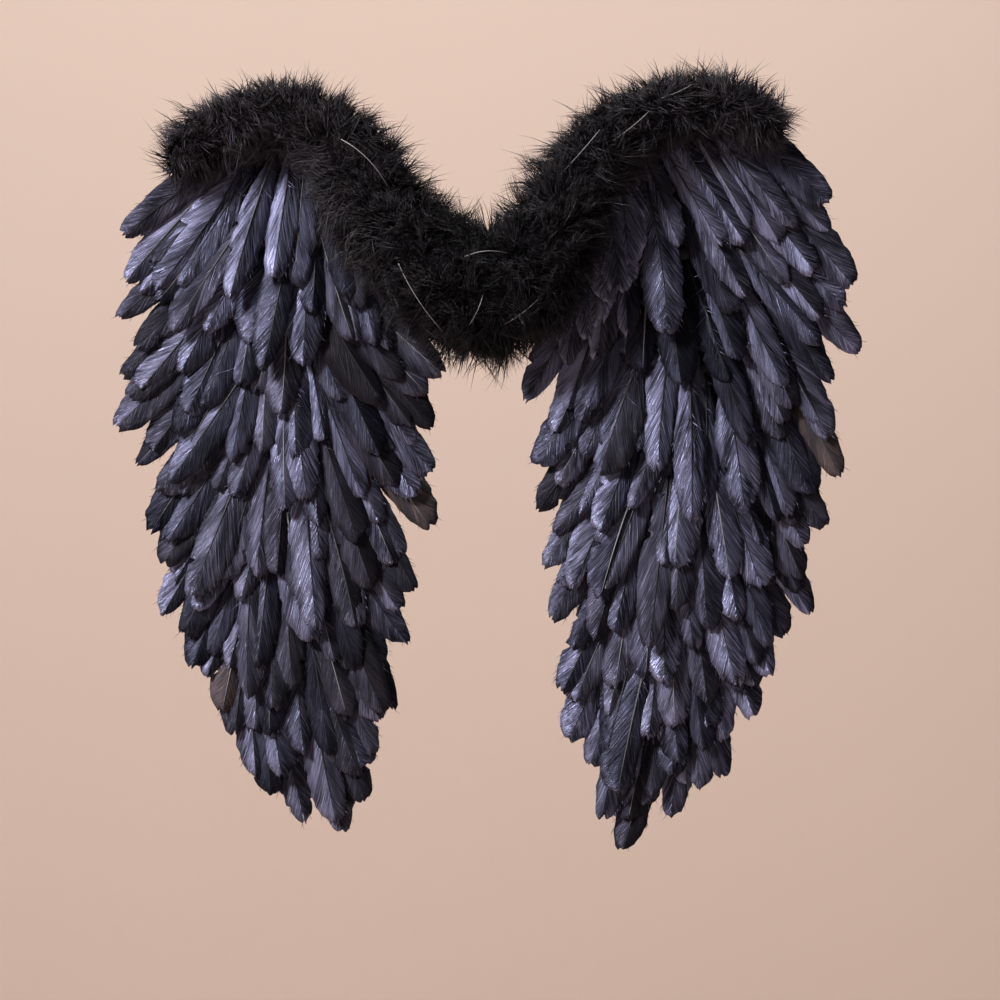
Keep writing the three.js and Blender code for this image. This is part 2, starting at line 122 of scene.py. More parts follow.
# The line of the marabou from its outer end to the spine: x as a share of HALF_SPAN, z as a
# share of RISE above the origin, and the reach of the fluff as a share of FLUFF_REACH.
LEFT_TRIM = (
    (0.835, 0.545, 0.24),
    (0.771, 0.690, 0.42),
    (0.664, 0.790, 0.48),
    (0.539, 0.828, 0.48),
    (0.432, 0.742, 0.55),
    (0.360, 0.595, 0.70),
    (0.296, 0.368, 0.82),
    (0.227, 0.218, 0.80),
    (0.136, 0.055, 0.92),
    (0.020, -0.045, 0.93),
)
RIGHT_TRIM = (
    (0.780, 0.735, 0.22),
    (0.728, 0.812, 0.34),
    (0.627, 0.880, 0.42),
    (0.515, 0.872, 0.40),
    (0.413, 0.812, 0.46),
    (0.317, 0.679, 0.56),
    (0.240, 0.490, 0.60),
    (0.180, 0.255, 0.68),
    (0.118, 0.045, 0.88),
    (0.020, -0.055, 0.95),
)
TRIM_STEPS = 84
TRIM_SIDES = 18

# Half the vane's width at shares of its length, as shares of half the feather's width.
VANE_OUTLINE = (
    (0.00, 0.10),
    (0.08, 0.14),
    (0.18, 0.48),
    (0.30, 0.80),
    (0.42, 0.96),
    (0.54, 1.00),
    (0.66, 0.97),
    (0.77, 0.89),
    (0.86, 0.77),
    (0.93, 0.60),
    (0.97, 0.46),
    (1.00, 0.24),
)

# The share of feathers that lie over the row above their own.
LAID_OVER = 0.2

# The pattern feather: its mesh, its wall, and its shaft, with lengths in millimetres.
VANE_COLUMNS = 6
VANE_ROWS = 30
VANE_WALL = 0.32
SHAFT_STEPS = 7
SHAFT_SHARE = 0.96
SHAFT_RADII = (0.95, 0.16)
SHAFT_FRONT = 0.12

# Hairs: how many there are on a feather and in a lock, and the shares of their length with a ring.
FRAYED_BARBS = 14
DOWNY_BARBS = 16
# How many times over the loose barbs take their feather's lit-side tone, as a painted glint.
BARB_PAINTED_GLINT = 1.5
BARB_STEPS = (0.0, 0.5)
STRAND_STEPS = (0.0, 0.38, 0.74)
HAIRS_IN_LOCK = 5
HAIR_FRONT = 0.5
HAIR_STAND = np.array([18, 9, 18]) * MM
CENTRE_SHARE = 0.32

LOOP_STEPS = 90
CORNER_SHARE = 0.45
CORNER_STEPS = 5
FEATHER_SEED = 1847
FLUFF_SEED = 512
MERGE = 1e-6

# The camera and what it looks at, in metres, and its lens and sensor in millimetres.
VIEW_CENTRE = (0.008, 0, -0.127)
CAMERA_PLACE = (0.0078, -2.415, -0.1272)
CAMERA_LENS = 143.9
CAMERA_SENSOR = 36

# Feathers that fill the left wing's top corner: the root's and the tip's x and z in millimetres.
CORNER_FEATHERS = ((-125, 92, -203, 14), (-132, 97, -211, 25), (-135, 99, -210, 38))

# Painted highlights and painted shade on the satin, where it is made brighter or darker: x and z in
# millimetres, the radius, and the change.
PAINTED_LIGHT_PATCHES = (
    (-121, 32, 24, 0.50),
    (-127, -72, 34, 0.50),
    (99, 30, 22, 0.70),
    (146, 50, 34, 0.70),
    (188, -55, 28, 0.20),
    (117, -16, 30, -1.10),
    (-60, -40, 26, -0.40),
    (125, 75, 26, -0.20),
    (38, -48, 24, 0.90),
    (66, 0, 32, 1.30),
    (165, 15, 40, 0.30),
    (-200, 42, 22, 0.60),
    (116, -211, 60, 0.20),
)

# Tips of the few feathers whose black has faded to brown: x and z in millimetres.
FADED_TIPS = ((-35, -147), (212, -112), (-163, -246))
FADED_RADIUS = 10

# Loose pale quills over the fluff: both ends' x and z in millimetres, and how far they bow.
QUILLS = (
    (-86, 86, -58, 57, 3),
    (-52, 12, -26, -28, -2),
    (-13, 16, 12, 18, 2),
    (-2, -6, -10, -24, 1),
    (35, -3, 10, -24, 2),
    (67, 92, 45, 67, 0.5),
    (96, 103, 72, 84, 1),
    (-104, 122, -92, 108, 1),
    (122, 120, 104, 112, 1),
)

QUILL_RINGS = 9
QUILL_RADIUS = 0.23
QUILL_LIFT = 1.5
QUILL_ARCH = 5

# The drooping line of a shoulder loop: out, up, down, and how flat the band lies on the pad.
STRAP_LINE = (
    (0.00, 1, 0.00, 1.0),
    (0.25, 1, 0.00, 1.0),
    (0.54, 0, -0.10, 0.5),
    (0.80, 0, 0.08, 0.0),
    (0.96, 0, 0.35, 0.0),
    (1.00, 0, 0.65, 0.0),
    (0.86, 0, 0.90, 0.0),
    (0.60, 0, 1.00, 0.0),
    (0.34, 0, 0.88, 0.0),
    (0.18, 0, 0.62, 0.0),
    (0.08, 0, 0.40, 0.5),
    (0.01, -1, 0.06, 1.0),
    (0.00, -0.4, 0.00, 1.0),
)

BOX_CORNERS = np.array(
    [0, 3, 2, 1, 4, 5, 6, 7, 0, 1, 5, 4, 1, 2, 6, 5, 2, 3, 7, 6, 3, 0, 4, 7]
)


class Wire:
    """An output socket of a material's nodes, with the arithmetic that is used on it."""

    def __init__(self, finish, socket):
        self.finish = finish
        self.socket = socket

    def math(self, operation, first, second):
        return self.finish.node("Math", {"operation": operation}, {0: first, 1: second})

    def __add__(self, other):
        return self.math("ADD", self, other)

    def __sub__(self, other):
        return self.math("SUBTRACT", self, other)

    def __rsub__(self, other):
        return self.math("SUBTRACT", other, self)

    def __mul__(self, other):
        return self.math("MULTIPLY", self, other)

    def __pow__(self, other):
        return self.math("POWER", self, other)

    __radd__ = __add__
    __rmul__ = __mul__


class Finish:
    """A material with one surface shader and the nodes that feed it."""

    def __init__(self, name):
        self.material = bpy.data.materials.new(name)
        self.material.use_nodes = True
        self.tree = self.material.node_tree
        self.tree.nodes.clear()
        self.shader = self.tree.nodes.new("ShaderNodeBsdfPrincipled")
        output = self.tree.nodes.new("ShaderNodeOutputMaterial")
        self.tree.links.new(self.shader.outputs[0], output.inputs[0])

    def feed(self, socket, value):
        if isinstance(value, Wire):
            self.tree.links.new(value.socket, socket)
        else:
            socket.default_value = (*value, 1.0) if socket.type == "RGBA" else value

    def node(self, kind, settings, inputs, output=0):
        """Adds a node, sets it up, feeds its sockets, and gives one of its outputs."""
        made = self.tree.nodes.new("ShaderNode" + kind)
        for key, value in settings.items():
            setattr(made, key, value)
        for key, value in inputs.items():
            self.feed(made.inputs[key], value)
        return Wire(self, made.outputs[output])

    def surface(self, **inputs):
        """Feeds the shader and gives the material."""
        for key, value in inputs.items():
            self.feed(self.shader.inputs[key.replace("_", " ")], value)
        return self.material

    def mix(self, factor, first, second):
        return self.node("Mix", {"data_type": "RGBA"}, {0: factor, 6: first, 7: second}, 2)

    def span(self, value, low, high):
        """0 below low, 1 above high, and smooth between them."""
        limits = {"Value": value, "From Min": low, "From Max": high}
        return self.node("MapRange", {"interpolation_type": "SMOOTHSTEP"}, limits)

    def noise(self, vector, scale, detail=2.0, rough=0.5, shift=0.0):
        grain = {"Vector": vector, "W": shift, "Scale": scale, "Detail": detail, "Roughness": rough}
        return self.node("TexNoise", {"noise_dimensions": "4D"}, grain)

    def attribute(self, name):
        return self.node("Attribute", {"attribute_name": name}, {}, 2)

    def uv(self, name):
        flat = self.node("UVMap", {"uv_map": name}, {})
        return [self.node("SeparateXYZ", {}, {0: flat}, axis) for axis in (0, 1)]

    def join(self, x, y):
        return self.node("CombineXYZ", {}, {0: x, 1: y})

    def place(self):
        return self.node("TexCoord", {}, {}, 3)

    def wave(self, value, count):
        return self.node("Math", {"operation": "SINE"}, {0: value * (count * 2 * math.pi)})

    def bump(self, height, strength, distance):
        relief = {"Height": height, "Strength": strength, "Distance": distance}
        return self.node("Bump", {}, relief)


def vane_finish(colours):
    """Satin feather: barbs run out from the shaft and catch the light in streaks, under painted
    light: a brighter left half, a darker right half, and brighter and darker patches.
    """
    finish = Finish("feather_vane")
    across, barb = finish.uv("feather")
    seed = finish.attribute("seed") * 40.0
    brown = finish.attribute("brown")
    # Left halves carry painted light and right halves painted shade, each with the feather's random
    # tone and the painted patches.
    right = finish.span(across, 0.47, 0.53)
    tone = finish.attribute("tone_and_painted_light_left") * (1.0 - right) + finish.attribute("tone_and_painted_light_right") * right

    def streaks(wide, fine, detail, rough):
        return finish.noise(finish.join(across * wide, barb * fine), 1.0, detail, rough, seed)

    fibres = finish.span(streaks(2.6, 64.0, 2.0, 0.7), 0.49, 0.66)
    barbs = streaks(1.6, 90.0, 3.0, 0.7)
    locks = streaks(1.6, 22.0, 2.0, 0.5)
    cloud = streaks(2.0, 4.0, 1.0, 0.5)
    sheen = finish.span(locks * 0.35 + barbs * 0.60 + cloud * 0.65, 0.56, 1.04)
    sheen = (sheen * 0.55 + fibres * 0.45) ** 1.5 * 1.6
    # Thin cracks where locks of barbs part are painted dark, as painted shade in the gaps.
    sheen = sheen * (1.0 - finish.span(locks, 0.60, 0.70) * 0.75)
    satin = finish.mix(sheen * tone, colours.feather_dark, colours.feather_sheen)
    faded = finish.mix(sheen, colours.feather_dark, colours.feather_brown)
    return finish.surface(
        Base_Color=finish.mix(brown, satin, faded),
        Metallic=0.85 - brown * 0.7,
        Roughness=0.45 - sheen * 0.10 + barbs * 0.08 + brown * 0.2,
        Normal=finish.bump(barbs * 0.4 + fibres * 0.25 + locks * 0.45, 0.8, 0.0012),
    )


def shaft_finish(colours):
    """Horn of the shaft: dark on most feathers, pale on a few."""
    finish = Finish("feather_shaft")
    colour = finish.mix(finish.attribute("pale"), colours.shaft_dark, colours.shaft_pale)
    grain = finish.noise(finish.place(), 900.0)
    return finish.surface(Base_Color=colour, Roughness=0.30 + grain * 0.15)


def fluff_finish(colours):
    """Marabou down: nearly black, with a painted brown glow of light shining through towards the
    ends of its hairs, and painted glints on a few hairs.
    """
    finish = Finish("marabou_down")
    tip = finish.attribute("tip")
    painted_glint = finish.attribute("painted_glint")
    patch = finish.span(finish.noise(finish.place(), 60.0), 0.35, 0.7)
    # The hair ends are painted a lighter brown, in patches, as a painted glow of light shining
    # through them.
    colour = finish.mix(tip * (0.35 + patch * 0.65), colours.fluff_dark, colours.fluff_glow_and_fuzz)
    return finish.surface(
        Base_Color=finish.mix(painted_glint, colour, colours.fluff_painted_glint),
        Roughness=0.50 - painted_glint * 0.2 - patch * 0.14,
        Specular_IOR_Level=0.28,
    )


def under_fluff_finish(colours):
    """The tangle under the long hairs."""
    finish = Finish("marabou_underdown")
    fuzz = finish.noise(finish.place(), 420.0, 4.0, 0.7)
    tangle = finish.noise(finish.place(), 90.0, 3.0, 0.6)
    return finish.surface(
        Base_Color=finish.mix(fuzz * tangle * 0.4, colours.fluff_dark, colours.fluff_glow_and_fuzz),
        Roughness=0.85 + fuzz * 0.1,
        Specular_IOR_Level=0.1,
        Normal=finish.bump(fuzz + tangle, 1.0, 0.003),
    )


def quill_finish(colours):
    """Bare pale quills that lie over the fluff."""
    finish = Finish("bare_quill")
    grain = finish.noise(finish.place(), 700.0)
    colour = finish.mix(grain, colours.shaft_pale, (0.60, 0.58, 0.60))
    return finish.surface(Base_Color=colour, Roughness=0.25 + grain * 0.2)


def felt_finish(colours):
    """Pressed black felt: matted fibres, with paler lint in places."""
    finish = Finish("black_felt")
    place = finish.place()
    fibre = finish.noise(place, 1500.0, 4.0, 0.7)
    mat = finish.noise(place, 230.0, 4.0, 0.65)
    wear = finish.span(finish.noise(place, 34.0, 3.0), 0.42, 0.72)
    lint = finish.span(finish.noise(place, 620.0, 2.0, 0.4), 0.66, 0.74)
    worn = [2.6 * part for part in colours.felt]
    pressed = finish.mix(fibre * 0.6 + wear * 0.4, colours.felt, worn)
    return finish.surface(
        Base_Color=finish.mix(lint * 0.35, pressed, (0.06, 0.06, 0.066)),
        Roughness=0.90 + fibre * 0.08,
        Normal=finish.bump(fibre * 0.5 + mat, 0.8, 0.0006),
    )


def elastic_finish(colours):
    """Woven elastic: cords along its length, crossed by fine picks, painted lighter on their crests
    and darker in the grooves between them as painted highlight and painted shade, with random fuzz.
    """
    finish = Finish("woven_elastic")
    across, along = finish.uv("band")
    rib = finish.wave(across, 9) * 0.5 + finish.wave(along, 260) * 0.28 + 0.5
    fuzz = finish.noise(finish.place(), 1200.0)
    # Painted highlight on the rib crests and painted shade in the grooves, times random fuzz.
    painted_rib_shade_and_fuzz = rib * (0.5 + fuzz * 0.5)
    return finish.surface(
        Base_Color=finish.mix(painted_rib_shade_and_fuzz, colours.elastic, (0.075, 0.075, 0.085)),
        Roughness=0.62 + fuzz * 0.2,
        Normal=finish.bump(rib + fuzz * 0.3, 0.7, 0.0005),
    )


def paper_finish(colours):
    """Matt studio paper."""
    finish = Finish("studio_paper")
    grain = finish.noise(finish.place(), 3.0, 3.0)
    pale = [min(1.0, 1.03 * part) for part in colours.paper]
    return finish.surface(Base_Color=finish.mix(grain, colours.paper, pale), Roughness=0.9)


def set_mode(mode):
    bpy.ops.object.mode_set(mode=mode)


def deselect():
    if bpy.context.object is not None and bpy.context.object.mode != "OBJECT":
        set_mode("OBJECT")
    bpy.ops.object.select_all(action="DESELECT")


def make_active(piece):
    deselect()
    piece.select_set(True)
    bpy.context.view_layer.objects.active = piece


def edit_whole(piece, step, **settings):
    """Takes one step of Edit Mode on a whole mesh."""
    make_active(piece)
    set_mode("EDIT")
    bpy.ops.mesh.select_all(action="SELECT")
    step(**settings)
    set_mode("OBJECT")


def face_outward(piece):
    edit_whole(piece, bpy.ops.mesh.normals_make_consistent, inside=False)


def apply_modifiers(piece):
    make_active(piece)
    for modifier in list(piece.modifiers):
        bpy.ops.object.modifier_apply(modifier=modifier.name)


def bake_place(piece):
    """Puts the object at the origin, with its place in its mesh."""
    make_active(piece)
    bpy.ops.object.transform_apply(location=True, rotation=True, scale=True)


def finish_piece(piece, slot, *nodes):
    """Lets a finished piece ride with the wings, in place of its plain solids."""
    deselect()
    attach(piece, BODY)
    if nodes:
        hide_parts(*nodes)


def add_object(name, data):
    made = bpy.data.objects.new(name, data)
    bpy.context.scene.collection.objects.link(made)
    return made


def mesh_piece(name, points, corners, sizes, materials, kinds=None):
    """A mesh object from arrays: points, the corners of all faces in a row, and their sizes."""
    mesh = bpy.data.meshes.new(name)
    mesh.vertices.add(len(points))
    mesh.vertices.foreach_set("co", np.asarray(points, dtype=np.float32).ravel())
    mesh.loops.add(len(corners))
    mesh.loops.foreach_set("vertex_index", np.asarray(corners, dtype=np.int32))
    mesh.polygons.add(len(sizes))
    starts = np.concatenate([[0], np.cumsum(sizes)[:-1]]).astype(np.int32)
    mesh.polygons.foreach_set("loop_start", starts)
    mesh.polygons.foreach_set("use_smooth", np.ones(len(sizes), dtype=bool))
    if kinds is not None:
        mesh.polygons.foreach_set("material_index", np.asarray(kinds, dtype=np.int32))
    for material in materials:
        mesh.materials.append(material)
    mesh.update(calc_edges=True)
    return add_object(name, mesh)


def read_array(items, key, width=1, kind=np.int32):
    """One property of all parts of a mesh."""
    values = np.empty(width * len(items), dtype=kind)
    items.foreach_get(key, values)
    return values


def mesh_arrays(piece):
    """The points, corners and sizes of a mesh object's faces, as mesh_piece takes them."""
    mesh = piece.data
    points = read_array(mesh.vertices, "co", 3, np.float32).reshape(-1, 3).astype(float)
    return points, read_array(mesh.loops, "vertex_index"), read_array(mesh.polygons, "loop_total")


def add_number(piece, name, values):
    """A number for each vertex, that a material can read."""
    layer = piece.data.attributes.new(name, "FLOAT", "POINT")
    layer.data.foreach_set("value", np.asarray(values, dtype=np.float32))


def add_uv(piece, name, places):
    """A UV map from a place for each vertex."""
    corners = read_array(piece.data.loops, "vertex_index")
    layer = piece.data.uv_layers.new(name=name)
    layer.data.foreach_set("uv", np.asarray(places, dtype=np.float32)[corners].ravel())


def unit(vectors):
    return vectors / np.linalg.norm(vectors, axis=1, keepdims=True)


def row_plan(row, side):
    """Where a row's feathers start and end, on the plan of the wing, in millimetres."""
    out_x, out_z, in_x, in_z, sag, count, out_lean, in_lean, long = row
    share = np.linspace(0, 1, count)
    lean = np.radians(out_lean + (in_lean - out_lean) * share)
    tip_x = side * HALF_SPAN * (out_x + (in_x - out_x) * share)
    tip_z = -DROP * (out_z + (in_z - out_z) * share + sag * 4 * share * (1 - share))
    length = FEATHER_LENGTH * long
    ends = [
        (tip_x[i] - side * length * math.sin(lean[i]), tip_z[i] + length * math.cos(lean[i]))
        for i in (0, -1)
    ]
    root_x = ends[0][0] + (ends[1][0] - ends[0][0]) * share
    root_z = ends[0][1] + (ends[1][1] - ends[0][1]) * share
    return {
        "side": side,
        "ends": ends,
        "root": np.column_stack([root_x, root_z]),
        "tip": np.column_stack([tip_x, tip_z]),
        "top": max(ends[0][1], ends[1][1]) + TAPE_HEIGHT / 2,
    }


LEFT_PLANS = [row_plan(row, -1) for row in LEFT_ROWS]
RIGHT_PLANS = [row_plan(row, 1) for row in RIGHT_ROWS]
SLOPE = ROW_STEP / min(
    above["top"] - below["top"]
    for plans in (LEFT_PLANS, RIGHT_PLANS)
    for above, below in zip(plans, plans[1:])
)


def plan_between(above, below):
    """Feathers that fill in between two rows at the wing's edges, behind the upper row."""
    share = np.array([0.02, 0.15, 0.85, 0.97])
    between = {"side": above["side"], "top": (above["top"] + below["top"]) / 2}
    for key in ("root", "tip"):
        halves = []
        for plan in (above, below):
            own = np.linspace(0, 1, len(plan[key]))
            halves.append(np.column_stack([np.interp(share, own, axis) for axis in plan[key].T]))
        between[key] = (halves[0] + halves[1]) / 2
    between["tip"] += 0.08 * (between["root"] - between["tip"])
    return between


def corner_plan(plan):
    """Feathers that fill the corner above a row's outer end."""
    places = np.array(CORNER_FEATHERS)
    return {**plan, "root": places[:, :2], "tip": places[:, 2:]}


def row_depth(plan, z):
    return ROW_BACK + SLOPE * (plan["top"] - z)


def model_vane(name):
    """A flat vane, narrowed row by row to a feather's outline, with a thin wall."""
    deselect()
    bpy.ops.mesh.primitive_grid_add(x_subdivisions=VANE_COLUMNS, y_subdivisions=VANE_ROWS, size=1)
    vane = bpy.context.object
    vane.name = name
    vane.scale = (FEATHER_WIDTH * MM, FEATHER_LENGTH * MM, 1)
    vane.location = (0, FEATHER_LENGTH * MM / 2, 0)
    bake_place(vane)
    set_mode("EDIT")
    shape = bmesh.from_edit_mesh(vane.data)
    for row in range(VANE_ROWS + 1):
        bpy.ops.mesh.select_all(action="DESELECT")
        level = FEATHER_LENGTH * MM * row / VANE_ROWS
        for vertex in shape.verts:
            vertex.select = abs(vertex.co.y - level) < MERGE
        width = float(np.interp(row / VANE_ROWS, *np.array(VANE_OUTLINE).T))
        bpy.ops.transform.resize(value=(width, 1, 1), center_override=(0, level, 0))
    set_mode("OBJECT")
    wall = vane.modifiers.new("wall", "SOLIDIFY")
    wall.thickness = VANE_WALL * MM
    wall.offset = 0
    apply_modifiers(vane)
    return vane


def model_shaft(name):
    """A tapered shaft that stands a little proud of the vane's front."""
    deselect()
    length = FEATHER_LENGTH * MM * SHAFT_SHARE
    thick, thin = (radius * MM for radius in SHAFT_RADII)
    bpy.ops.mesh.primitive_cone_add(
        vertices=4, radius1=thick, radius2=thin, depth=length, end_fill_type="TRIFAN"
    )
    shaft = bpy.context.object
    shaft.name = name
    shaft.rotation_euler = (-math.pi / 2, 0, 0)
    shaft.location = (0, length / 2, SHAFT_FRONT * MM)
    bake_place(shaft)
    set_mode("EDIT")
    shape = bmesh.from_edit_mesh(shaft.data)
    for edge in shape.edges:
        edge.select = abs(edge.verts[0].co.y - edge.verts[1].co.y) > length / 2
    bpy.ops.mesh.subdivide(number_cuts=SHAFT_STEPS)
    set_mode("OBJECT")
    return shaft


def pattern_feather():
    """The feather that all rows are laid from: its vane and its shaft, as arrays."""
    vane = model_vane("pattern_vane")
    shaft = model_shaft("pattern_shaft")
    vane_points, vane_corners, vane_sizes = mesh_arrays(vane)
    shaft_points, shaft_corners, shaft_sizes = mesh_arrays(shaft)
    for piece in (vane, shaft):
        bpy.data.objects.remove(piece)
    points = np.vstack([vane_points, shaft_points]) / MM
    is_shaft = np.arange(len(points)) >= len(vane_points)
    along = points[:, 1] / FEATHER_LENGTH
    half = np.interp(along, *np.array(VANE_OUTLINE).T) * FEATHER_WIDTH / 2
    # Laying a feather in its row mirrors it, so its faces are listed turned over.
    return {
        "points": points,
        "along": along,
        "across": np.where(is_shaft, 0, np.clip(points[:, 0] / half, -1, 1)),
        "half": half / (FEATHER_WIDTH / 2),
        "is_shaft": is_shaft,
        "row": np.rint(along * VANE_ROWS).astype(int).clip(0, VANE_ROWS),
        "corners": np.concatenate([vane_corners, shaft_corners + len(vane_points)])[::-1],
        "sizes": np.concatenate([vane_sizes, shaft_sizes])[::-1],
        "kinds": np.repeat([1, 0], [len(shaft_sizes), len(vane_sizes)]),
    }


def ragged_edges(pattern, chance, wildness):
    """How far the vane's edges draw in at each vertex, and how far they slip along the feather."""
    row = pattern["row"]
    across = pattern["across"]
    edge = np.abs(across)
    right = (across > 0).astype(int)
    wave = chance.normal(0, 1, (2, VANE_ROWS + 1))
    wave = 0.5 * wave + 0.5 * np.roll(wave, 1, axis=1)
    draw = 1 + 0.055 * wildness * wave[right, row] * edge**3
    slip = np.zeros(len(row))
    for hand in (0, 1):
        for _ in range(chance.poisson(0.45 * wildness)):
            level = chance.integers(9, VANE_ROWS - 4)
            depth = chance.uniform(0.15, 0.42)
            mine = (right == hand) & (edge > 1 - depth)
            here = mine & (row == level)
            draw[here] = (1 - depth) / edge[here]
            slip[here] -= 1.6 * (edge[here] - 1 + depth)
            slip[mine & (row == level + 1)] -= 1.2 * depth
            slip[mine & (row == level - 1)] += 0.9 * depth
    column = np.rint((across + 1) * VANE_COLUMNS / 2).astype(int)
    teeth = chance.normal(0, wildness, VANE_COLUMNS + 1)
    slip += np.where(row >= VANE_ROWS - 1, teeth[column], 0)
    return draw, slip


def loose_barbs(pattern, laid, forward, side, chance):
    """Root, shaft, bend and radius of a feather's frayed barbs, and of the down at its base."""
    is_vane = ~pattern["is_shaft"]
    edge = is_vane & (np.abs(pattern["across"]) > 0.9) & (pattern["along"] > 0.4)
    spine = is_vane & (np.abs(pattern["across"]) < 0.1) & (pattern["along"] < 0.36)
    frayed = chance.choice(np.flatnonzero(edge), FRAYED_BARBS)
    downy = chance.choice(np.flatnonzero(spine), DOWNY_BARBS)
    pick = np.concatenate([frayed, downy])
    count = len(pick)
    is_down = np.arange(count) >= FRAYED_BARBS
    hand = np.where(is_down, chance.choice([-1, 1], count), np.sign(pattern["across"][pick]))

    def draw(soft, stiff):
        return np.where(is_down, chance.uniform(*soft, count), chance.uniform(*stiff, count))

    spread = hand * draw((0.3, 1.5), (0.1, 0.6))
    shaft = forward + spread[:, None] * side + 0.12 * chance.normal(0, 1, (count, 3))
    shaft[:, 1] -= 0.22 * is_down
    length = draw((6, 14), (1.5, 5)) * MM
    bend = chance.normal(0, 1, (count, 3)) * (length * np.where(is_down, 0.28, 0.12))[:, None]
    thick = np.where(is_down, 0.22, 0.18) * MM
    return laid[pick], unit(shaft) * length[:, None], bend, thick


def lay_feather(pattern, plan, index, chance, settings):
    """A copy of the pattern feather, bowed, bent, torn a little, and laid in its row."""
    root = plan["root"][index]
    tip = plan["tip"][index]
    direction = tip - root
    is_end = index in (0, len(plan["tip"]) - 1)
    length = np.hypot(*direction) + (chance.uniform(-3, 1) if is_end else chance.uniform(-17, 7))
    turn = math.radians(np.clip(chance.normal(0, 2.2 if is_end else 4.2), -7, 7))
    direction = np.array([
        direction[0] * math.cos(turn) - direction[1] * math.sin(turn),
        direction[0] * math.sin(turn) + direction[1] * math.cos(turn),
    ]) / np.hypot(*direction)
    wide = settings.feather_width / MM / FEATHER_WIDTH * chance.uniform(0.80, 1.12)
    draw, slip = ragged_edges(pattern, chance, settings.raggedness)
    hand = np.sign(pattern["across"])
    across = pattern["points"][:, 0] * wide * draw * (1 + 0.14 * chance.normal() * hand)
    across *= np.where(pattern["is_shaft"], 1, pattern["half"] ** chance.uniform(-0.3, 0.25))
    share = pattern["along"]
    shear = 0.35 * np.clip((1.04 - share) / 0.3, 0, 1) * np.clip(share / 0.2, 0, 1)
    along = share * length + np.where(pattern["is_shaft"], 0, np.abs(across) * shear + slip)
    edge = np.abs(pattern["across"]) ** 1.15
    swell = np.clip(share / 0.35, 0.15, 1)
    bow = settings.feather_bow / MM * chance.uniform(0.55, 1.25)
    lift = pattern["points"][:, 2] - edge * bow * swell
    ripple = chance.uniform(0.1, 0.5) * np.sin(share * chance.uniform(4, 9) + chance.uniform(0, 6))
    lift += ripple * edge * np.sign(pattern["across"] + 1e-9) * swell
    roll = math.radians(chance.normal(0, 8.0))
    across, lift = (
        across * math.cos(roll) - lift * math.sin(roll),
        across * math.sin(roll) * swell + lift * math.cos(roll),
    )
    sweep = chance.normal(0, 0.035) * length
    across = across + sweep * (share**2 - share)
    lift = lift + chance.uniform(-0.6, 3.2) * share**3
    if not is_end and chance.uniform() < LAID_OVER:
        lift = lift + ROW_STEP + 1
    side = np.array([-direction[1], direction[0]])
    flat = root + np.outer(along, direction) + np.outer(across, side)
    layer = TAPE_SKIN + (index % 2) * (FEATHER_THICK + SEAT_GAP) + 1.0
    depth = row_depth(plan, flat[:, 1]) + layer + lift
    slant = chance.uniform(1.3, 2.5)
    barb = (share * length - slant * np.abs(pattern["points"][:, 0])) / FEATHER_LENGTH
    places = np.column_stack([pattern["across"] * 0.5 + 0.5, barb])
    laid = np.column_stack([flat[:, 0], -depth, flat[:, 1]]) * MM
    forward = np.array([direction[0], 0, direction[1]])
    barbs = loose_barbs(pattern, laid, forward, np.array([side[0], 0, side[1]]), chance)
    return laid, places, barbs


def painted_light_at(spot):
    """How much painted highlight (above zero) and painted shade (below zero) the satin gets at a
    place on the wings.
    """
    change = 0.0
    for x, z, radius, strength in PAINTED_LIGHT_PATCHES:
        change += strength * math.exp(-(((spot[0] - x) ** 2 + (spot[1] - z) ** 2) / radius**2))
    return change


def is_faded(spot):
    return any(math.hypot(spot[0] - x, spot[1] - z) < FADED_RADIUS for x, z in FADED_TIPS)


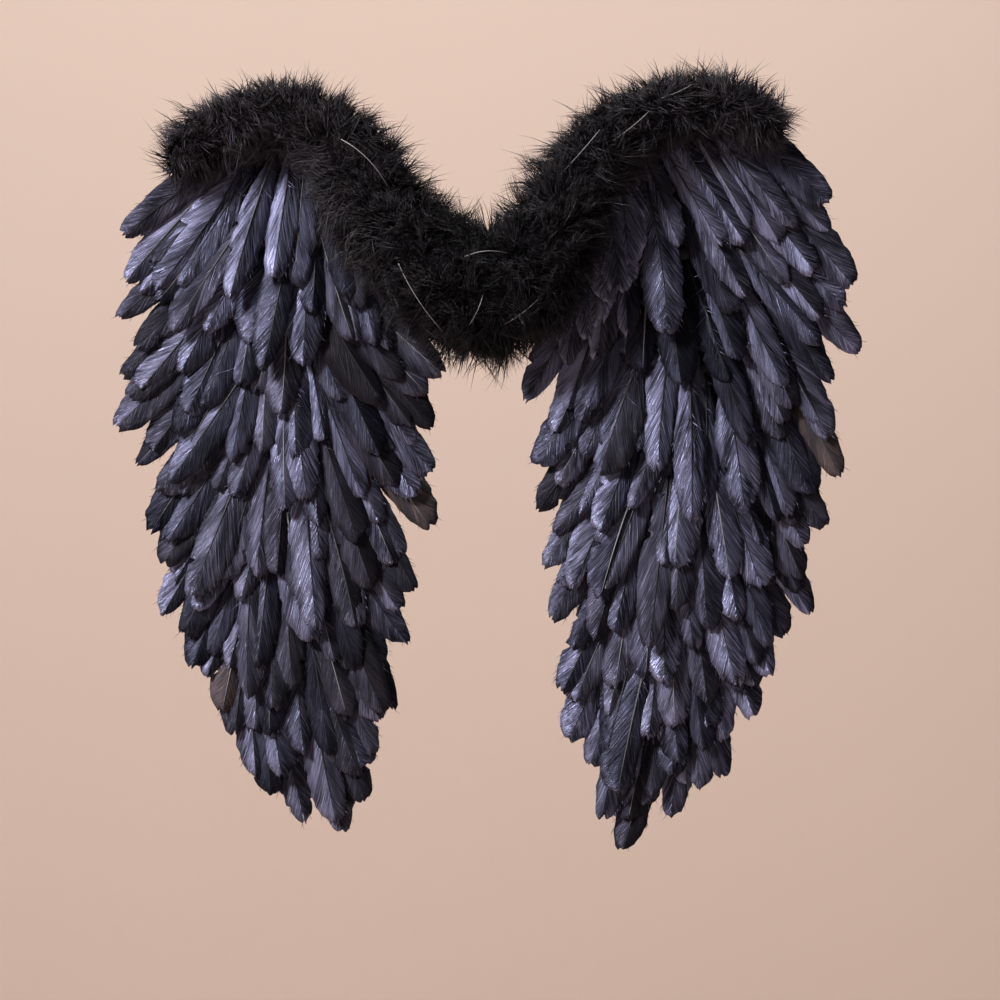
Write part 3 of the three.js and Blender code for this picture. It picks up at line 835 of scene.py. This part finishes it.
def build_row(name, node, plans, pattern, chance, settings, materials):
    """One row of feathers on its tape, with those that fill in behind it."""
    count = sum(len(plan["root"]) for plan in plans)
    size = len(pattern["points"])
    points, places, barbs = [], [], []
    numbers = {"tone_and_painted_light_left": [], "tone_and_painted_light_right": [], "brown": [], "pale": [], "seed": []}
    for plan in plans:
        for index, tip in enumerate(plan["tip"]):
            laid, spots, loose = lay_feather(pattern, plan, index, chance, settings)
            points.append(laid)
            places.append(spots)
            barbs.append(loose)
            middle = 0.7 * tip + 0.3 * plan["root"][index]
            # A random tone for each feather, plus the painted highlights and painted shade at its
            # place.
            tone = np.clip(0.12 + chance.uniform() ** 1.4 + painted_light_at(middle), 0.04, 1.5)
            # Painted light from the key on the left: the left half is made brighter and the right
            # half darker by this share.
            painted_side_light = np.clip(chance.normal(0.32, 0.30), -0.4, 0.8)
            numbers["tone_and_painted_light_left"].append(tone * (1 + painted_side_light))
            numbers["tone_and_painted_light_right"].append(tone * (1 - painted_side_light))
            numbers["brown"].append(0.92 if is_faded(tip) else chance.choice([0.0, 0.15]))
            numbers["pale"].append(chance.choice([0.0, 0.25, 0.8], p=[0.74, 0.16, 0.10]))
            numbers["seed"].append(chance.uniform())
    hairs = [np.concatenate(part) for part in zip(*barbs)]
    hair_points, hair_corners, hair_sizes, _ = hair_arrays(*hairs, BARB_STEPS)
    tape = tape_points(plans[0])
    first_hair = count * size
    first_tape = first_hair + len(hair_points)
    corners = [pattern["corners"] + i * size for i in range(count)]
    corners += [hair_corners + first_hair, BOX_CORNERS + first_tape]
    sizes = [*[pattern["sizes"]] * count, hair_sizes, np.full(6, 4)]
    kinds = [*[pattern["kinds"]] * count, np.zeros(len(hair_sizes)), np.full(6, 2)]
    piece = mesh_piece(
        name,
        np.vstack([*points, hair_points, tape]),
        np.concatenate(corners),
        np.concatenate(sizes),
        materials,
        np.concatenate(kinds),
    )
    places += [np.full((len(hair_points), 2), 0.3), np.zeros((len(tape), 2))]
    add_uv(piece, "feather", np.vstack(places))
    for label, values in numbers.items():
        # The loose barbs get the lit-side tone, made brighter still as a painted glint.
        painted_glint = BARB_PAINTED_GLINT if label == "tone_and_painted_light_left" else 1
        on_barbs = np.repeat(painted_glint * np.array(values), len(hair_points) // count)
        spread = [np.repeat(values, size), on_barbs, np.zeros(len(tape))]
        add_number(piece, label, np.concatenate(spread))
    finish_piece(piece, "feather", node)


def tape_points(plan):
    """The corners of the sewing tape that a row's feathers start from."""
    points = []
    for end, step in ((0, TAPE_REACH), (-1, -TAPE_REACH)):
        x, z = plan["ends"][end]
        for front, up in ((0, 1), (1, 1), (1, -1), (0, -1)):
            level = z + up * TAPE_HEIGHT / 2
            depth = row_depth(plan, level) + front * ROW_THICK
            points.append((x + plan["side"] * step, -depth, level))
    # The right wing's tapes run the other way, so their ends change places.
    return np.roll(points, 4 if plan["side"] > 0 else 0, axis=0) * MM


def solid_copy(node, name):
    """A free copy of a plain solid with its loose triangles merged."""
    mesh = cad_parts[node].data.copy()
    mesh.materials.clear()
    shape = bmesh.new()
    shape.from_mesh(mesh)
    bmesh.ops.remove_doubles(shape, verts=shape.verts, dist=MERGE)
    shape.to_mesh(mesh)
    shape.free()
    for extra in list(mesh.uv_layers):
        mesh.uv_layers.remove(extra)
    return add_object(name, mesh)


def ray_tree(nodes):
    """Plain solids as one tree that rays can be cast at."""
    points, faces = [], []
    for node in nodes:
        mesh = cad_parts[node].data
        faces += [[len(points) + index for index in face.vertices] for face in mesh.polygons]
        points += [vertex.co for vertex in mesh.vertices]
    return BVHTree.FromPolygons(points, faces)


def scatter(piece, count, chance, walls):
    """Places on a body's skin, with their normals, leaving out what lies against a wall."""
    mesh = piece.data
    mesh.calc_loop_triangles()
    points = mesh_arrays(piece)[0]
    corner = points[read_array(mesh.loop_triangles, "vertices", 3).reshape(-1, 3)]
    cross = np.cross(corner[:, 1] - corner[:, 0], corner[:, 2] - corner[:, 0])
    area = np.linalg.norm(cross, axis=1)
    normal = cross / np.maximum(area, 1e-12)[:, None]
    is_open = np.array([
        face[1] < 0.35 or walls.ray_cast(Vector(middle), Vector((0, 1, 0)))[0] is None
        for face, middle in zip(normal, corner.mean(axis=1))
    ])
    weight = area * is_open
    pick = chance.choice(len(area), count, p=weight / weight.sum())
    share = chance.uniform(0, 1, (count, 2))
    share[share.sum(axis=1) > 1] = 1 - share[share.sum(axis=1) > 1]
    first, second, third = corner[pick].transpose(1, 0, 2)
    spot = first + share[:, :1] * (second - first) + share[:, 1:] * (third - first)
    return spot, normal[pick]


def sweep(rings):
    """Points, corners and sizes of a skin through rings, closed with a face at each end."""
    rows, size, _ = rings.shape
    near = np.arange(size)
    far = np.roll(near, -1)
    step = size * np.arange(rows - 1)[:, None]
    sides = np.stack([step + near, step + far, step + far + size, step + near + size], axis=2)
    corners = np.concatenate([sides.ravel(), near[::-1], near + (rows - 1) * size])
    return rings.reshape(-1, 3), corners, np.repeat([4, size], [(rows - 1) * size, 2])


def trim_rings():
    """Rings around the core of the marabou, from the left outer end to the right one."""
    rows = []
    for side, table, plans in ((-1, LEFT_TRIM, LEFT_PLANS), (1, RIGHT_TRIM[::-1], RIGHT_PLANS)):
        for x, z, reach in table:
            tall = CORE_SHARE * FLUFF_REACH * reach
            deep = CORE_DEPTH * math.sqrt(reach)
            rest = row_depth(plans[0], min(RISE * z, plans[0]["top"])) + ROW_THICK
            depth = rest + math.hypot(deep, SLOPE * tall) + SEAT_GAP
            rows.append((side * HALF_SPAN * x, RISE * z, depth, tall, deep))
    x, z, depth, tall, deep = smooth_line(rows, TRIM_STEPS).T
    centred = np.clip(1.6 - np.abs(x) / CENTRE_HALF_WIDTH, 0, 1)
    front = depth + deep
    back = (depth - deep) * (1 - centred) + (PAD_FRONT + SEAT_GAP) * centred
    run = unit(np.column_stack([np.gradient(x), np.gradient(z)]))
    order = np.arange(TRIM_STEPS)
    taper = np.sqrt(np.clip((np.minimum(order, order[::-1]) + 0.3) / 2.3, 0, 1))
    angle = 2 * np.pi * (np.arange(TRIM_SIDES) + 0.5) / TRIM_SIDES
    rise = np.outer(tall * taper, np.sin(angle))
    swell = np.outer((front - back) / 2 * taper, np.cos(angle))
    out = x[:, None] - run[:, 1:] * rise
    level = z[:, None] + run[:, :1] * rise
    return np.stack([out, swell - (front + back)[:, None] / 2, level], axis=2) * MM


def hair_arrays(root, shaft, bend, thick, steps):
    """Closed three-sided hairs: a ring at each step and a tip, curling by their bend."""
    count = len(root)
    size = 3 * len(steps) + 1
    along = unit(shaft)
    helper = np.where(np.abs(along[:, 2:]) < 0.8, [[0.0, 0.0, 1.0]], [[1.0, 0.0, 0.0]])
    side = unit(np.cross(along, helper))
    up = np.cross(along, side)
    points = np.empty((count, size, 3))
    for ring, step in enumerate(steps):
        centre = root + shaft * step + bend * step**2
        for corner in range(3):
            angle = 2 * math.pi * corner / 3
            offset = (side * math.cos(angle) + up * math.sin(angle)) * thick[:, None]
            points[:, 3 * ring + corner] = centre + offset * (1 - 0.65 * step)
    points[:, size - 1] = root + shaft + bend
    faces = [0, 2, 1]
    last = 3 * len(steps) - 3
    for ring in range(0, last, 3):
        for corner in range(3):
            following = (corner + 1) % 3
            faces += [ring + corner, ring + following, ring + 3 + following, ring + 3 + corner]
    for corner in range(3):
        faces += [last + corner, last + (corner + 1) % 3, size - 1]
    corners = (np.array(faces)[None, :] + size * np.arange(count)[:, None]).ravel()
    sizes = np.tile([3] + [4] * last + [3] * 3, count)
    tips = np.tile(np.append(np.repeat(steps, 3), 1.0), count)
    return points.reshape(-1, 3), corners, sizes, tips


def build_fluff(name, node, rings, counts, chance, settings, materials):
    """Marabou: a dark core under combed short hairs, and longer strands in curved locks."""
    body = mesh_piece(name + "_core", *sweep(rings), materials)
    face_outward(body)
    walls = ray_tree(("left_backing", "right_backing", "centre_pad"))
    low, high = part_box(node)
    limits = np.array(low) - HAIR_STAND, np.array(high) + HAIR_STAND
    short = combed_hairs(body, counts[0], chance, settings, walls)
    long = lock_hairs(body, counts[1] // HAIRS_IN_LOCK, chance, settings, walls)
    undercoat = hair_piece(name, short, limits, BARB_STEPS, materials, chance)
    locks = hair_piece(name + "_locks", long, limits, STRAND_STEPS, materials, chance)
    under = np.ones(len(body.data.polygons), dtype=np.int32)
    body.data.polygons.foreach_set("material_index", under)
    for label in ("tip", "painted_glint"):
        add_number(body, label, np.zeros(len(body.data.vertices)))
    make_joined(undercoat, body)
    finish_piece(undercoat, "fluff", node)
    finish_piece(locks, "fluff")


def hair_piece(name, hairs, limits, steps, materials, chance):
    root, shaft, curl, thick = hairs
    ends = np.clip(root + shaft + curl, *limits)
    points, corners, sizes, tips = hair_arrays(root, ends - root - curl, curl, thick, steps)
    piece = mesh_piece(name, points, corners, sizes, materials)
    out = np.abs(root[:, 0]) / (HALF_SPAN * MM)
    # A few hairs get painted glints, more of them towards the trim's outer arms.
    painted_glint = chance.uniform(0, 1, len(root)) ** 5 * (0.15 + 1.3 * out)
    # The painted glow at the hair ends grows towards the trim's outer arms.
    add_number(piece, "tip", tips * np.repeat(0.03 + 1.2 * out, 3 * len(steps) + 1))
    add_number(piece, "painted_glint", np.repeat(painted_glint, 3 * len(steps) + 1))
    return piece


def flow_at(spots, size):
    """A direction that changes smoothly from place to place."""
    return np.array([noise.noise_vector(Vector(spot) / size) for spot in spots])


def hang(heading, normal):
    """Keeps hairs off the feathers behind them and lets the lower ones droop."""
    heading[:, 1] = np.minimum(heading[:, 1] * HAIR_FRONT, 0.1)
    heading[:, 2] -= 0.25 * np.clip(0.5 - normal[:, 2], 0, 1)
    return unit(heading)


def longer(spot):
    """How much longer the hairs are over the spine than elsewhere."""
    return 1 + 0.35 * np.exp(-((spot[:, 0] / (50 * MM)) ** 2))


def combed_hairs(body, count, chance, settings, walls):
    """Root, shaft, bend and radius of single hairs that lean together."""
    spot, normal = scatter(body, count, chance, walls)
    heading = normal + 1.0 * flow_at(spot, 22 * MM) + 0.16 * chance.normal(0, 1, (count, 3))
    heading = hang(heading, normal)
    length = (settings.hair_length * chance.uniform(0.5, 1.1, count) * longer(spot))[:, None]
    bend = flow_at(spot, 11 * MM) * length * [1.0, 0.45, 1.0]
    thick = settings.hair_thickness * chance.uniform(0.8, 1.3, count)
    return spot - normal * MM, heading * length, bend, thick


def lock_hairs(body, locks, chance, settings, walls):
    """Root, shaft, bend and radius of the strands of all locks, which curve side by side."""
    spot, normal = scatter(body, locks, chance, walls)
    heading = normal + 0.8 * flow_at(spot, 26 * MM) + 0.25 * chance.normal(0, 1, (locks, 3))
    heading = hang(heading, normal)
    curl = unit(np.cross(heading, flow_at(spot, 40 * MM) + 0.25 * chance.normal(0, 1, (locks, 3))))
    length = settings.lock_length * chance.uniform(0.55, 1.1, locks) * longer(spot)
    spot, normal, heading, curl, length = (
        np.repeat(values, HAIRS_IN_LOCK, axis=0) for values in (spot, normal, heading, curl, length)
    )
    count = len(spot)
    root = spot - normal * MM + 0.9 * MM * chance.normal(0, 1, (count, 3)) * [1, 0.5, 1]
    heading = unit(heading + 0.10 * chance.normal(0, 1, (count, 3)) * [1, HAIR_FRONT, 1])
    length = (length * chance.uniform(0.6, 1.05, count))[:, None]
    bend = (0.95 * curl + 0.15 * chance.normal(0, 1, (count, 3))) * length * [1, HAIR_FRONT, 1]
    thick = settings.hair_thickness * chance.uniform(1.2, 2.0, count)
    return root, heading * length, bend, thick


def make_joined(keeper, other):
    make_active(keeper)
    other.select_set(True)
    bpy.ops.object.join()


def run_lengths(line):
    """How far along a line each of its places is."""
    return np.append(0, np.cumsum(np.linalg.norm(np.diff(line[:, :2], axis=0), axis=1)))


def smooth_line(table, steps):
    """Evenly spaced places on a smooth line through the rows of a table."""
    table = np.array(table, dtype=float)
    reach = run_lengths(table)
    fine = np.linspace(0, reach[-1], 12 * steps)
    columns = []
    for column in table.T:
        line = np.interp(fine, reach, column)
        for _ in range(3 * steps):
            line[1:-1] = (line[:-2] + 2 * line[1:-1] + line[2:]) / 4
        columns.append(line)
    line = np.column_stack(columns)
    gone = run_lengths(line)
    even = np.linspace(0, gone[-1], steps)
    return np.column_stack([np.interp(even, gone, column) for column in line.T])


def build_loop(name, node, side, settings, material):
    """An elastic shoulder loop: a bevelled band that lies on the pad and turns on edge."""
    start = PAD_HALF_WIDTH - STRAP_INSET
    table = [
        (side * (start + STRAP_REACH * out), STRAP_ANCHOR_Z * up - STRAP_DROP * down, flat)
        for out, up, down, flat in STRAP_LINE
    ]
    line = smooth_line(table, LOOP_STEPS)
    tangent = unit(np.gradient(line[:, :2], axis=0))
    width = settings.strap_width / MM
    thick = settings.strap_thickness / MM
    ring = band_section(width, thick)
    points, places = [], []
    reach = run_lengths(line)
    for (x, z, flat), (run_x, run_z), gone in zip(line, tangent, reach):
        turn = min(max(flat, 0), 1) * math.pi / 2
        wide = np.array([-run_z * math.sin(turn), math.cos(turn), run_x * math.sin(turn)])
        thin = np.cross([run_x, 0, run_z], wide)
        half = abs(wide[1]) * width / 2 + abs(thin[1]) * thick / 2
        clear = STRAP_CLEAR + (SEAT_GAP - STRAP_CLEAR) * math.sin(turn)
        centre = np.array([x, half + clear - CUSHION_RAISE, z])
        for across, through in ring:
            points.append((centre + wide * across + thin * through) * MM)
            places.append((across / width + 0.5, gone / reach[-1]))
    rings = np.array(points).reshape(len(line), len(ring), 3)
    piece = mesh_piece(name, *sweep(rings), [material])
    add_uv(piece, "band", places)
    face_outward(piece)
    finish_piece(piece, "elastic", node)


def band_section(width, thick):
    """The rounded section of a flat band."""
    half, edge = width / 2, thick / 2
    upper = [(half, 0), (half - edge, edge), (0, edge), (edge - half, edge)]
    return upper + [(-across, -through) for across, through in upper]


def round_outline(board, cut):
    """The same flat board, with each corner of its outline turned into a short curve."""
    points, corners, sizes = mesh_arrays(board)
    widest = int(np.argmax(sizes))
    start = int(sizes[:widest].sum())
    outline = points[corners[start : start + sizes[widest]]]
    before, after = (np.roll(outline, step, axis=0) - outline for step in (1, -1))
    reach = np.minimum(np.linalg.norm(before, axis=1), np.linalg.norm(after, axis=1))
    reach = np.minimum(CORNER_SHARE * reach, cut)[:, None]
    share = np.linspace(0, 1, CORNER_STEPS)[:, None]
    curves = [
        corner + (1 - share) ** 2 * back + share**2 * on
        for corner, back, on in zip(outline, unit(before) * reach, unit(after) * reach)
    ]
    ring = np.concatenate(curves)
    rings = np.stack([ring, ring])
    rings[0, :, 1] = points[:, 1].min()
    rings[1, :, 1] = points[:, 1].max()
    name = board.name
    bpy.data.objects.remove(board)
    piece = mesh_piece(name, *sweep(rings), [])
    face_outward(piece)
    return piece


def build_felt(name, node, corner, settings, material):
    """A felt piece with soft edges; corner is how far its outline's corners are cut back."""
    piece = solid_copy(node, name)
    edit_whole(piece, bpy.ops.mesh.dissolve_limited, angle_limit=math.radians(2))
    if corner > 0:
        piece = round_outline(piece, corner)
    edge = piece.modifiers.new("edge", "BEVEL")
    edge.width = settings.felt_edge
    edge.segments = 3
    edge.limit_method = "ANGLE"
    edge.angle_limit = math.radians(40)
    apply_modifiers(piece)
    piece.data.materials.append(material)
    make_active(piece)
    bpy.ops.object.shade_smooth_by_angle(angle=math.radians(35))
    finish_piece(piece, "felt", node)


def build_quills(name, material):
    """Thin bare quills that lie on the fluff."""
    fluff = ray_tree(("left_marabou", "centre_marabou", "right_marabou"))
    skins = []
    share = np.linspace(0, 1, QUILL_RINGS)
    arch = 1 - (2 * share - 1) ** 2
    angle = np.pi * np.arange(4) / 2
    for x0, z0, x1, z1, bow in QUILLS:
        start = np.array([x0, 0, z0], dtype=float)
        run = np.array([x1 - x0, 0, z1 - z0], dtype=float)
        length = np.linalg.norm(run)
        away = np.array([-run[2], 0, run[0]]) / length
        fronts = []
        for step in (0, 0.5, 1):
            spot = (start + run * step) * MM
            hit = fluff.ray_cast(Vector((spot[0], -1, spot[2])), Vector((0, 1, 0)))[0]
            if hit is not None:
                fronts.append(hit.y / MM)
        centre = start + np.outer(share, run) + np.outer(bow * arch, away)
        centre[:, 1] = min(fronts) - QUILL_LIFT - QUILL_ARCH * arch
        radius = QUILL_RADIUS * (1 - 0.6 * share)
        across = np.cross(run / length, [0, 1, 0])
        ring = np.outer(np.cos(angle), [0, -1, 0]) + np.outer(np.sin(angle), across)
        skins.append(sweep((centre[:, None] + radius[:, None, None] * ring) * MM))
    size = 4 * QUILL_RINGS
    corners = [skin[1] + index * size for index, skin in enumerate(skins)]
    points, _, sizes = (np.concatenate(part) for part in zip(*skins))
    piece = mesh_piece(name, points, np.concatenate(corners), sizes, [material])
    face_outward(piece)
    finish_piece(piece, "fluff")


def tint(name, text, *default):
    return FloatVectorProperty(
        name=name, description=text, subtype="COLOR", size=3, min=0, max=1, default=default
    )


def millimetres(name, text, default, low, high):
    """A length whose default and limits are given in millimetres."""
    return FloatProperty(
        name=name, description=text, unit="LENGTH",
        default=default * MM, min=low * MM, max=high * MM,
    )


class WingColours(bpy.types.PropertyGroup):
    """Colours of the wings' materials."""

    feather_dark: tint("Feather shadow", "Darkest tone of the feathers", 0.0055, 0.006, 0.012)
    feather_sheen: tint("Feather sheen", "Satin sheen of the feathers", 0.36, 0.365, 0.59)
    feather_brown: tint("Faded feather", "Colour of faded feathers", 0.110, 0.066, 0.052)
    shaft_dark: tint("Dark shaft", "Colour of most shafts", 0.018, 0.018, 0.024)
    shaft_pale: tint("Pale shaft", "Colour of the palest shafts and quills", 0.30, 0.29, 0.31)
    fluff_dark: tint("Marabou", "Colour of the marabou", 0.0016, 0.0014, 0.0026)
    # Painted glow of light shining through the hair ends; also the lighter fuzz in the tangle under
    # them.
    fluff_glow_and_fuzz: tint("Marabou ends", "Colour of the ends of the hairs", 0.060, 0.046, 0.053)
    # A lighter colour painted on a few hairs as painted glints.
    fluff_painted_glint: tint("Marabou shine", "Colour of the few shining hairs", 0.120, 0.112, 0.150)
    felt: tint("Felt", "Colour of the felt backs", 0.009, 0.009, 0.011)
    elastic: tint("Elastic", "Colour of the shoulder loops", 0.020, 0.020, 0.023)
    paper: tint("Studio paper", "Colour of the floor and backdrop", 0.66, 0.53, 0.46)


class WingSizes(bpy.types.PropertyGroup):
    """Sizes that can be changed without moving the rows."""

    feather_width: millimetres("Feather width", "Width of a feather's vane", 22.5, 10, 40)
    feather_bow: millimetres("Feather bow", "How far a vane's edges fall back", 3, 0, 8)
    raggedness: FloatProperty(
        name="Raggedness", description="How torn the vanes' edges are", default=1, min=0, max=3
    )
    hair_length: millimetres("Hair length", "Length of the marabou's single hairs", 10.5, 4, 30)
    lock_length: millimetres("Lock length", "Length of the marabou's longest strands", 17, 4, 40)
    hair_thickness: millimetres("Hair radius", "Radius of a hair at its root", 0.24, 0.05, 1)
    hair_count: IntProperty(
        name="Hairs", description="Single hairs on each side of the marabou",
        default=13500, min=100, max=16000,
    )
    lock_hair_count: IntProperty(
        name="Lock strands", description="Strands in the locks on each side of the marabou",
        default=4800, min=100, max=12000,
    )
    board_corner: millimetres("Board corners", "How far a board's corners are cut back", 14, 1, 20)
    felt_edge: millimetres("Felt edge", "Rounding of the felt's edges", 0.9, 0.1, 1.4)
    strap_width: millimetres("Loop width", "Width of the elastic", 10, 4, 20)
    strap_thickness: millimetres("Loop thickness", "Thickness of the elastic", 1.4, 0.5, 3)


class WINGS_OT_feathers(bpy.types.Operator):
    """Lay the rows of feathers on both wings"""

    bl_idname = "wings.feathers"
    bl_label = "Feathers"

    def execute(self, context):
        colours = context.scene.wing_colours
        sizes = context.scene.wing_sizes
        materials = [vane_finish(colours), shaft_finish(colours), felt_finish(colours)]
        pattern = pattern_feather()
        chance = np.random.default_rng(FEATHER_SEED)
        for side, plans in (("left", LEFT_PLANS), ("right", RIGHT_PLANS)):
            for number, plan in enumerate(plans, 1):
                laid = [plan]
                if number < len(plans):
                    laid.append(plan_between(plan, plans[number]))
                if side == "left" and number == 1:
                    laid.append(corner_plan(plan))
                name = f"{side}_row_{number:02d}"
                node = f"{side}_feathers_{number:02d}"
                build_row(name, node, laid, pattern, chance, sizes, materials)
        return {"FINISHED"}


class WINGS_OT_marabou(bpy.types.Operator):
    """Dress the marabou trim in fine hairs"""

    bl_idname = "wings.marabou"
    bl_label = "Marabou"

    def execute(self, context):
        colours = context.scene.wing_colours
        sizes = context.scene.wing_sizes
        materials = [fluff_finish(colours), under_fluff_finish(colours)]
        chance = np.random.default_rng(FLUFF_SEED)
        noise.seed_set(FLUFF_SEED)
        rings = trim_rings()
        edge = CENTRE_HALF_WIDTH * MM
        first, last = np.flatnonzero(np.abs(rings[:, :, 0].mean(axis=1)) < edge)[[0, -1]]
        for name, part, share in (
            ("left", rings[:first + 1], 1.0),
            ("centre", rings[first:last + 1], CENTRE_SHARE),
            ("right", rings[last:], 1.0),
        ):
            counts = int(sizes.hair_count * share), int(sizes.lock_hair_count * share)
            build_fluff(f"{name}_fluff", f"{name}_marabou", part, counts, chance, sizes, materials)
        build_quills("loose_quills", quill_finish(colours))
        return {"FINISHED"}


class WINGS_OT_backs(bpy.types.Operator):
    """Cover the boards and the pad with felt"""

    bl_idname = "wings.backs"
    bl_label = "Felt backs"

    def execute(self, context):
        felt = felt_finish(context.scene.wing_colours)
        sizes = context.scene.wing_sizes
        for name, node in (
            ("left_board", "left_backing"),
            ("right_board", "right_backing"),
            ("felt_pad", "centre_pad"),
        ):
            corner = 0 if node == "centre_pad" else sizes.board_corner
            build_felt(name, node, corner, sizes, felt)
        return {"FINISHED"}


class WINGS_OT_loops(bpy.types.Operator):
    """Hang the elastic shoulder loops"""

    bl_idname = "wings.loops"
    bl_label = "Shoulder loops"

    def execute(self, context):
        elastic = elastic_finish(context.scene.wing_colours)
        sizes = context.scene.wing_sizes
        for name, side in (("left", -1), ("right", 1)):
            build_loop(f"{name}_elastic", f"{name}_shoulder_loop", side, sizes, elastic)
        return {"FINISHED"}


def add_light(name, place, target, size, power, colour):
    lamp = bpy.data.lights.new(name, "AREA")
    lamp.shape = "DISK"
    lamp.size = size
    lamp.energy = power
    lamp.color = colour
    light = add_object(name, lamp)
    light.location = place
    light.rotation_euler = (Vector(target) - Vector(place)).to_track_quat("-Z", "Y").to_euler()


def add_sheet(name, place, turn, size, paper):
    deselect()
    bpy.ops.mesh.primitive_plane_add(size=1, location=place, rotation=(turn, 0, 0))
    sheet = bpy.context.object
    sheet.name = name
    sheet.scale = (*size, 1)
    bake_place(sheet)
    sheet.data.materials.append(paper)


class WINGS_OT_stage(bpy.types.Operator):
    """Set the floor, backdrop, lights and camera"""

    bl_idname = "wings.stage"
    bl_label = "Stage"

    def execute(self, context):
        paper = paper_finish(context.scene.wing_colours)
        add_sheet("studio_floor", (0, 0, -0.95), 0, (16, 12), paper)
        add_sheet("studio_backdrop", (0, 3.6, 2.0), math.pi / 2, (16, 7), paper)
        add_light("key", (-2.6, -2.2, 1.9), VIEW_CENTRE, 1.0, 200, (1.0, 0.98, 0.97))
        add_light("fill", (1.7, -2.0, 0.1), VIEW_CENTRE, 1.6, 2, (0.97, 0.97, 1.0))
        add_light("top", (0.4, 0.55, 1.5), VIEW_CENTRE, 0.8, 8, (1.0, 0.97, 0.94))
        add_light("backdrop", (0, 1.3, 2.6), (0, 3.6, 0.2), 2.4, 80, (1.0, 0.97, 0.95))
        world = bpy.data.worlds.new("studio")
        world.use_nodes = True
        background = world.node_tree.nodes["Background"]
        background.inputs[0].default_value = (0.80, 0.74, 0.72, 1)
        background.inputs[1].default_value = 0.03
        context.scene.world = world
        lens = bpy.data.cameras.new("camera")
        lens.lens = CAMERA_LENS
        lens.sensor_width = CAMERA_SENSOR
        camera = add_object("camera", lens)
        camera.location = CAMERA_PLACE
        camera.rotation_euler = (math.pi / 2, 0, 0)
        context.scene.camera = camera
        context.scene.view_settings.view_transform = "Standard"
        return {"FINISHED"}


class WINGS_PT_panel(bpy.types.Panel):
    """Sizes, colours and build buttons of the wings"""

    bl_idname = "WINGS_PT_panel"
    bl_label = "Feathered wings"
    bl_space_type = "VIEW_3D"
    bl_region_type = "UI"
    bl_category = "Wings"

    def draw(self, context):
        layout = self.layout
        for group in (context.scene.wing_sizes, context.scene.wing_colours):
            for name in group.__annotations__:
                layout.prop(group, name)
        for operator in OPERATORS:
            layout.operator(operator.bl_idname)


OPERATORS = (
    WINGS_OT_feathers,
    WINGS_OT_marabou,
    WINGS_OT_backs,
    WINGS_OT_loops,
    WINGS_OT_stage,
)
CLASSES = (WingColours, WingSizes, *OPERATORS, WINGS_PT_panel)


def register():
    for entry in CLASSES:
        bpy.utils.register_class(entry)
    bpy.types.Scene.wing_colours = PointerProperty(type=WingColours)
    bpy.types.Scene.wing_sizes = PointerProperty(type=WingSizes)


def unregister():
    del bpy.types.Scene.wing_sizes
    del bpy.types.Scene.wing_colours
    for entry in reversed(CLASSES):
        bpy.utils.unregister_class(entry)


def main():
    register()
    bpy.ops.wings.feathers()
    bpy.ops.wings.marabou()
    bpy.ops.wings.backs()
    bpy.ops.wings.loops()
    bpy.ops.wings.stage()


if __name__ == "__main__":
    main()
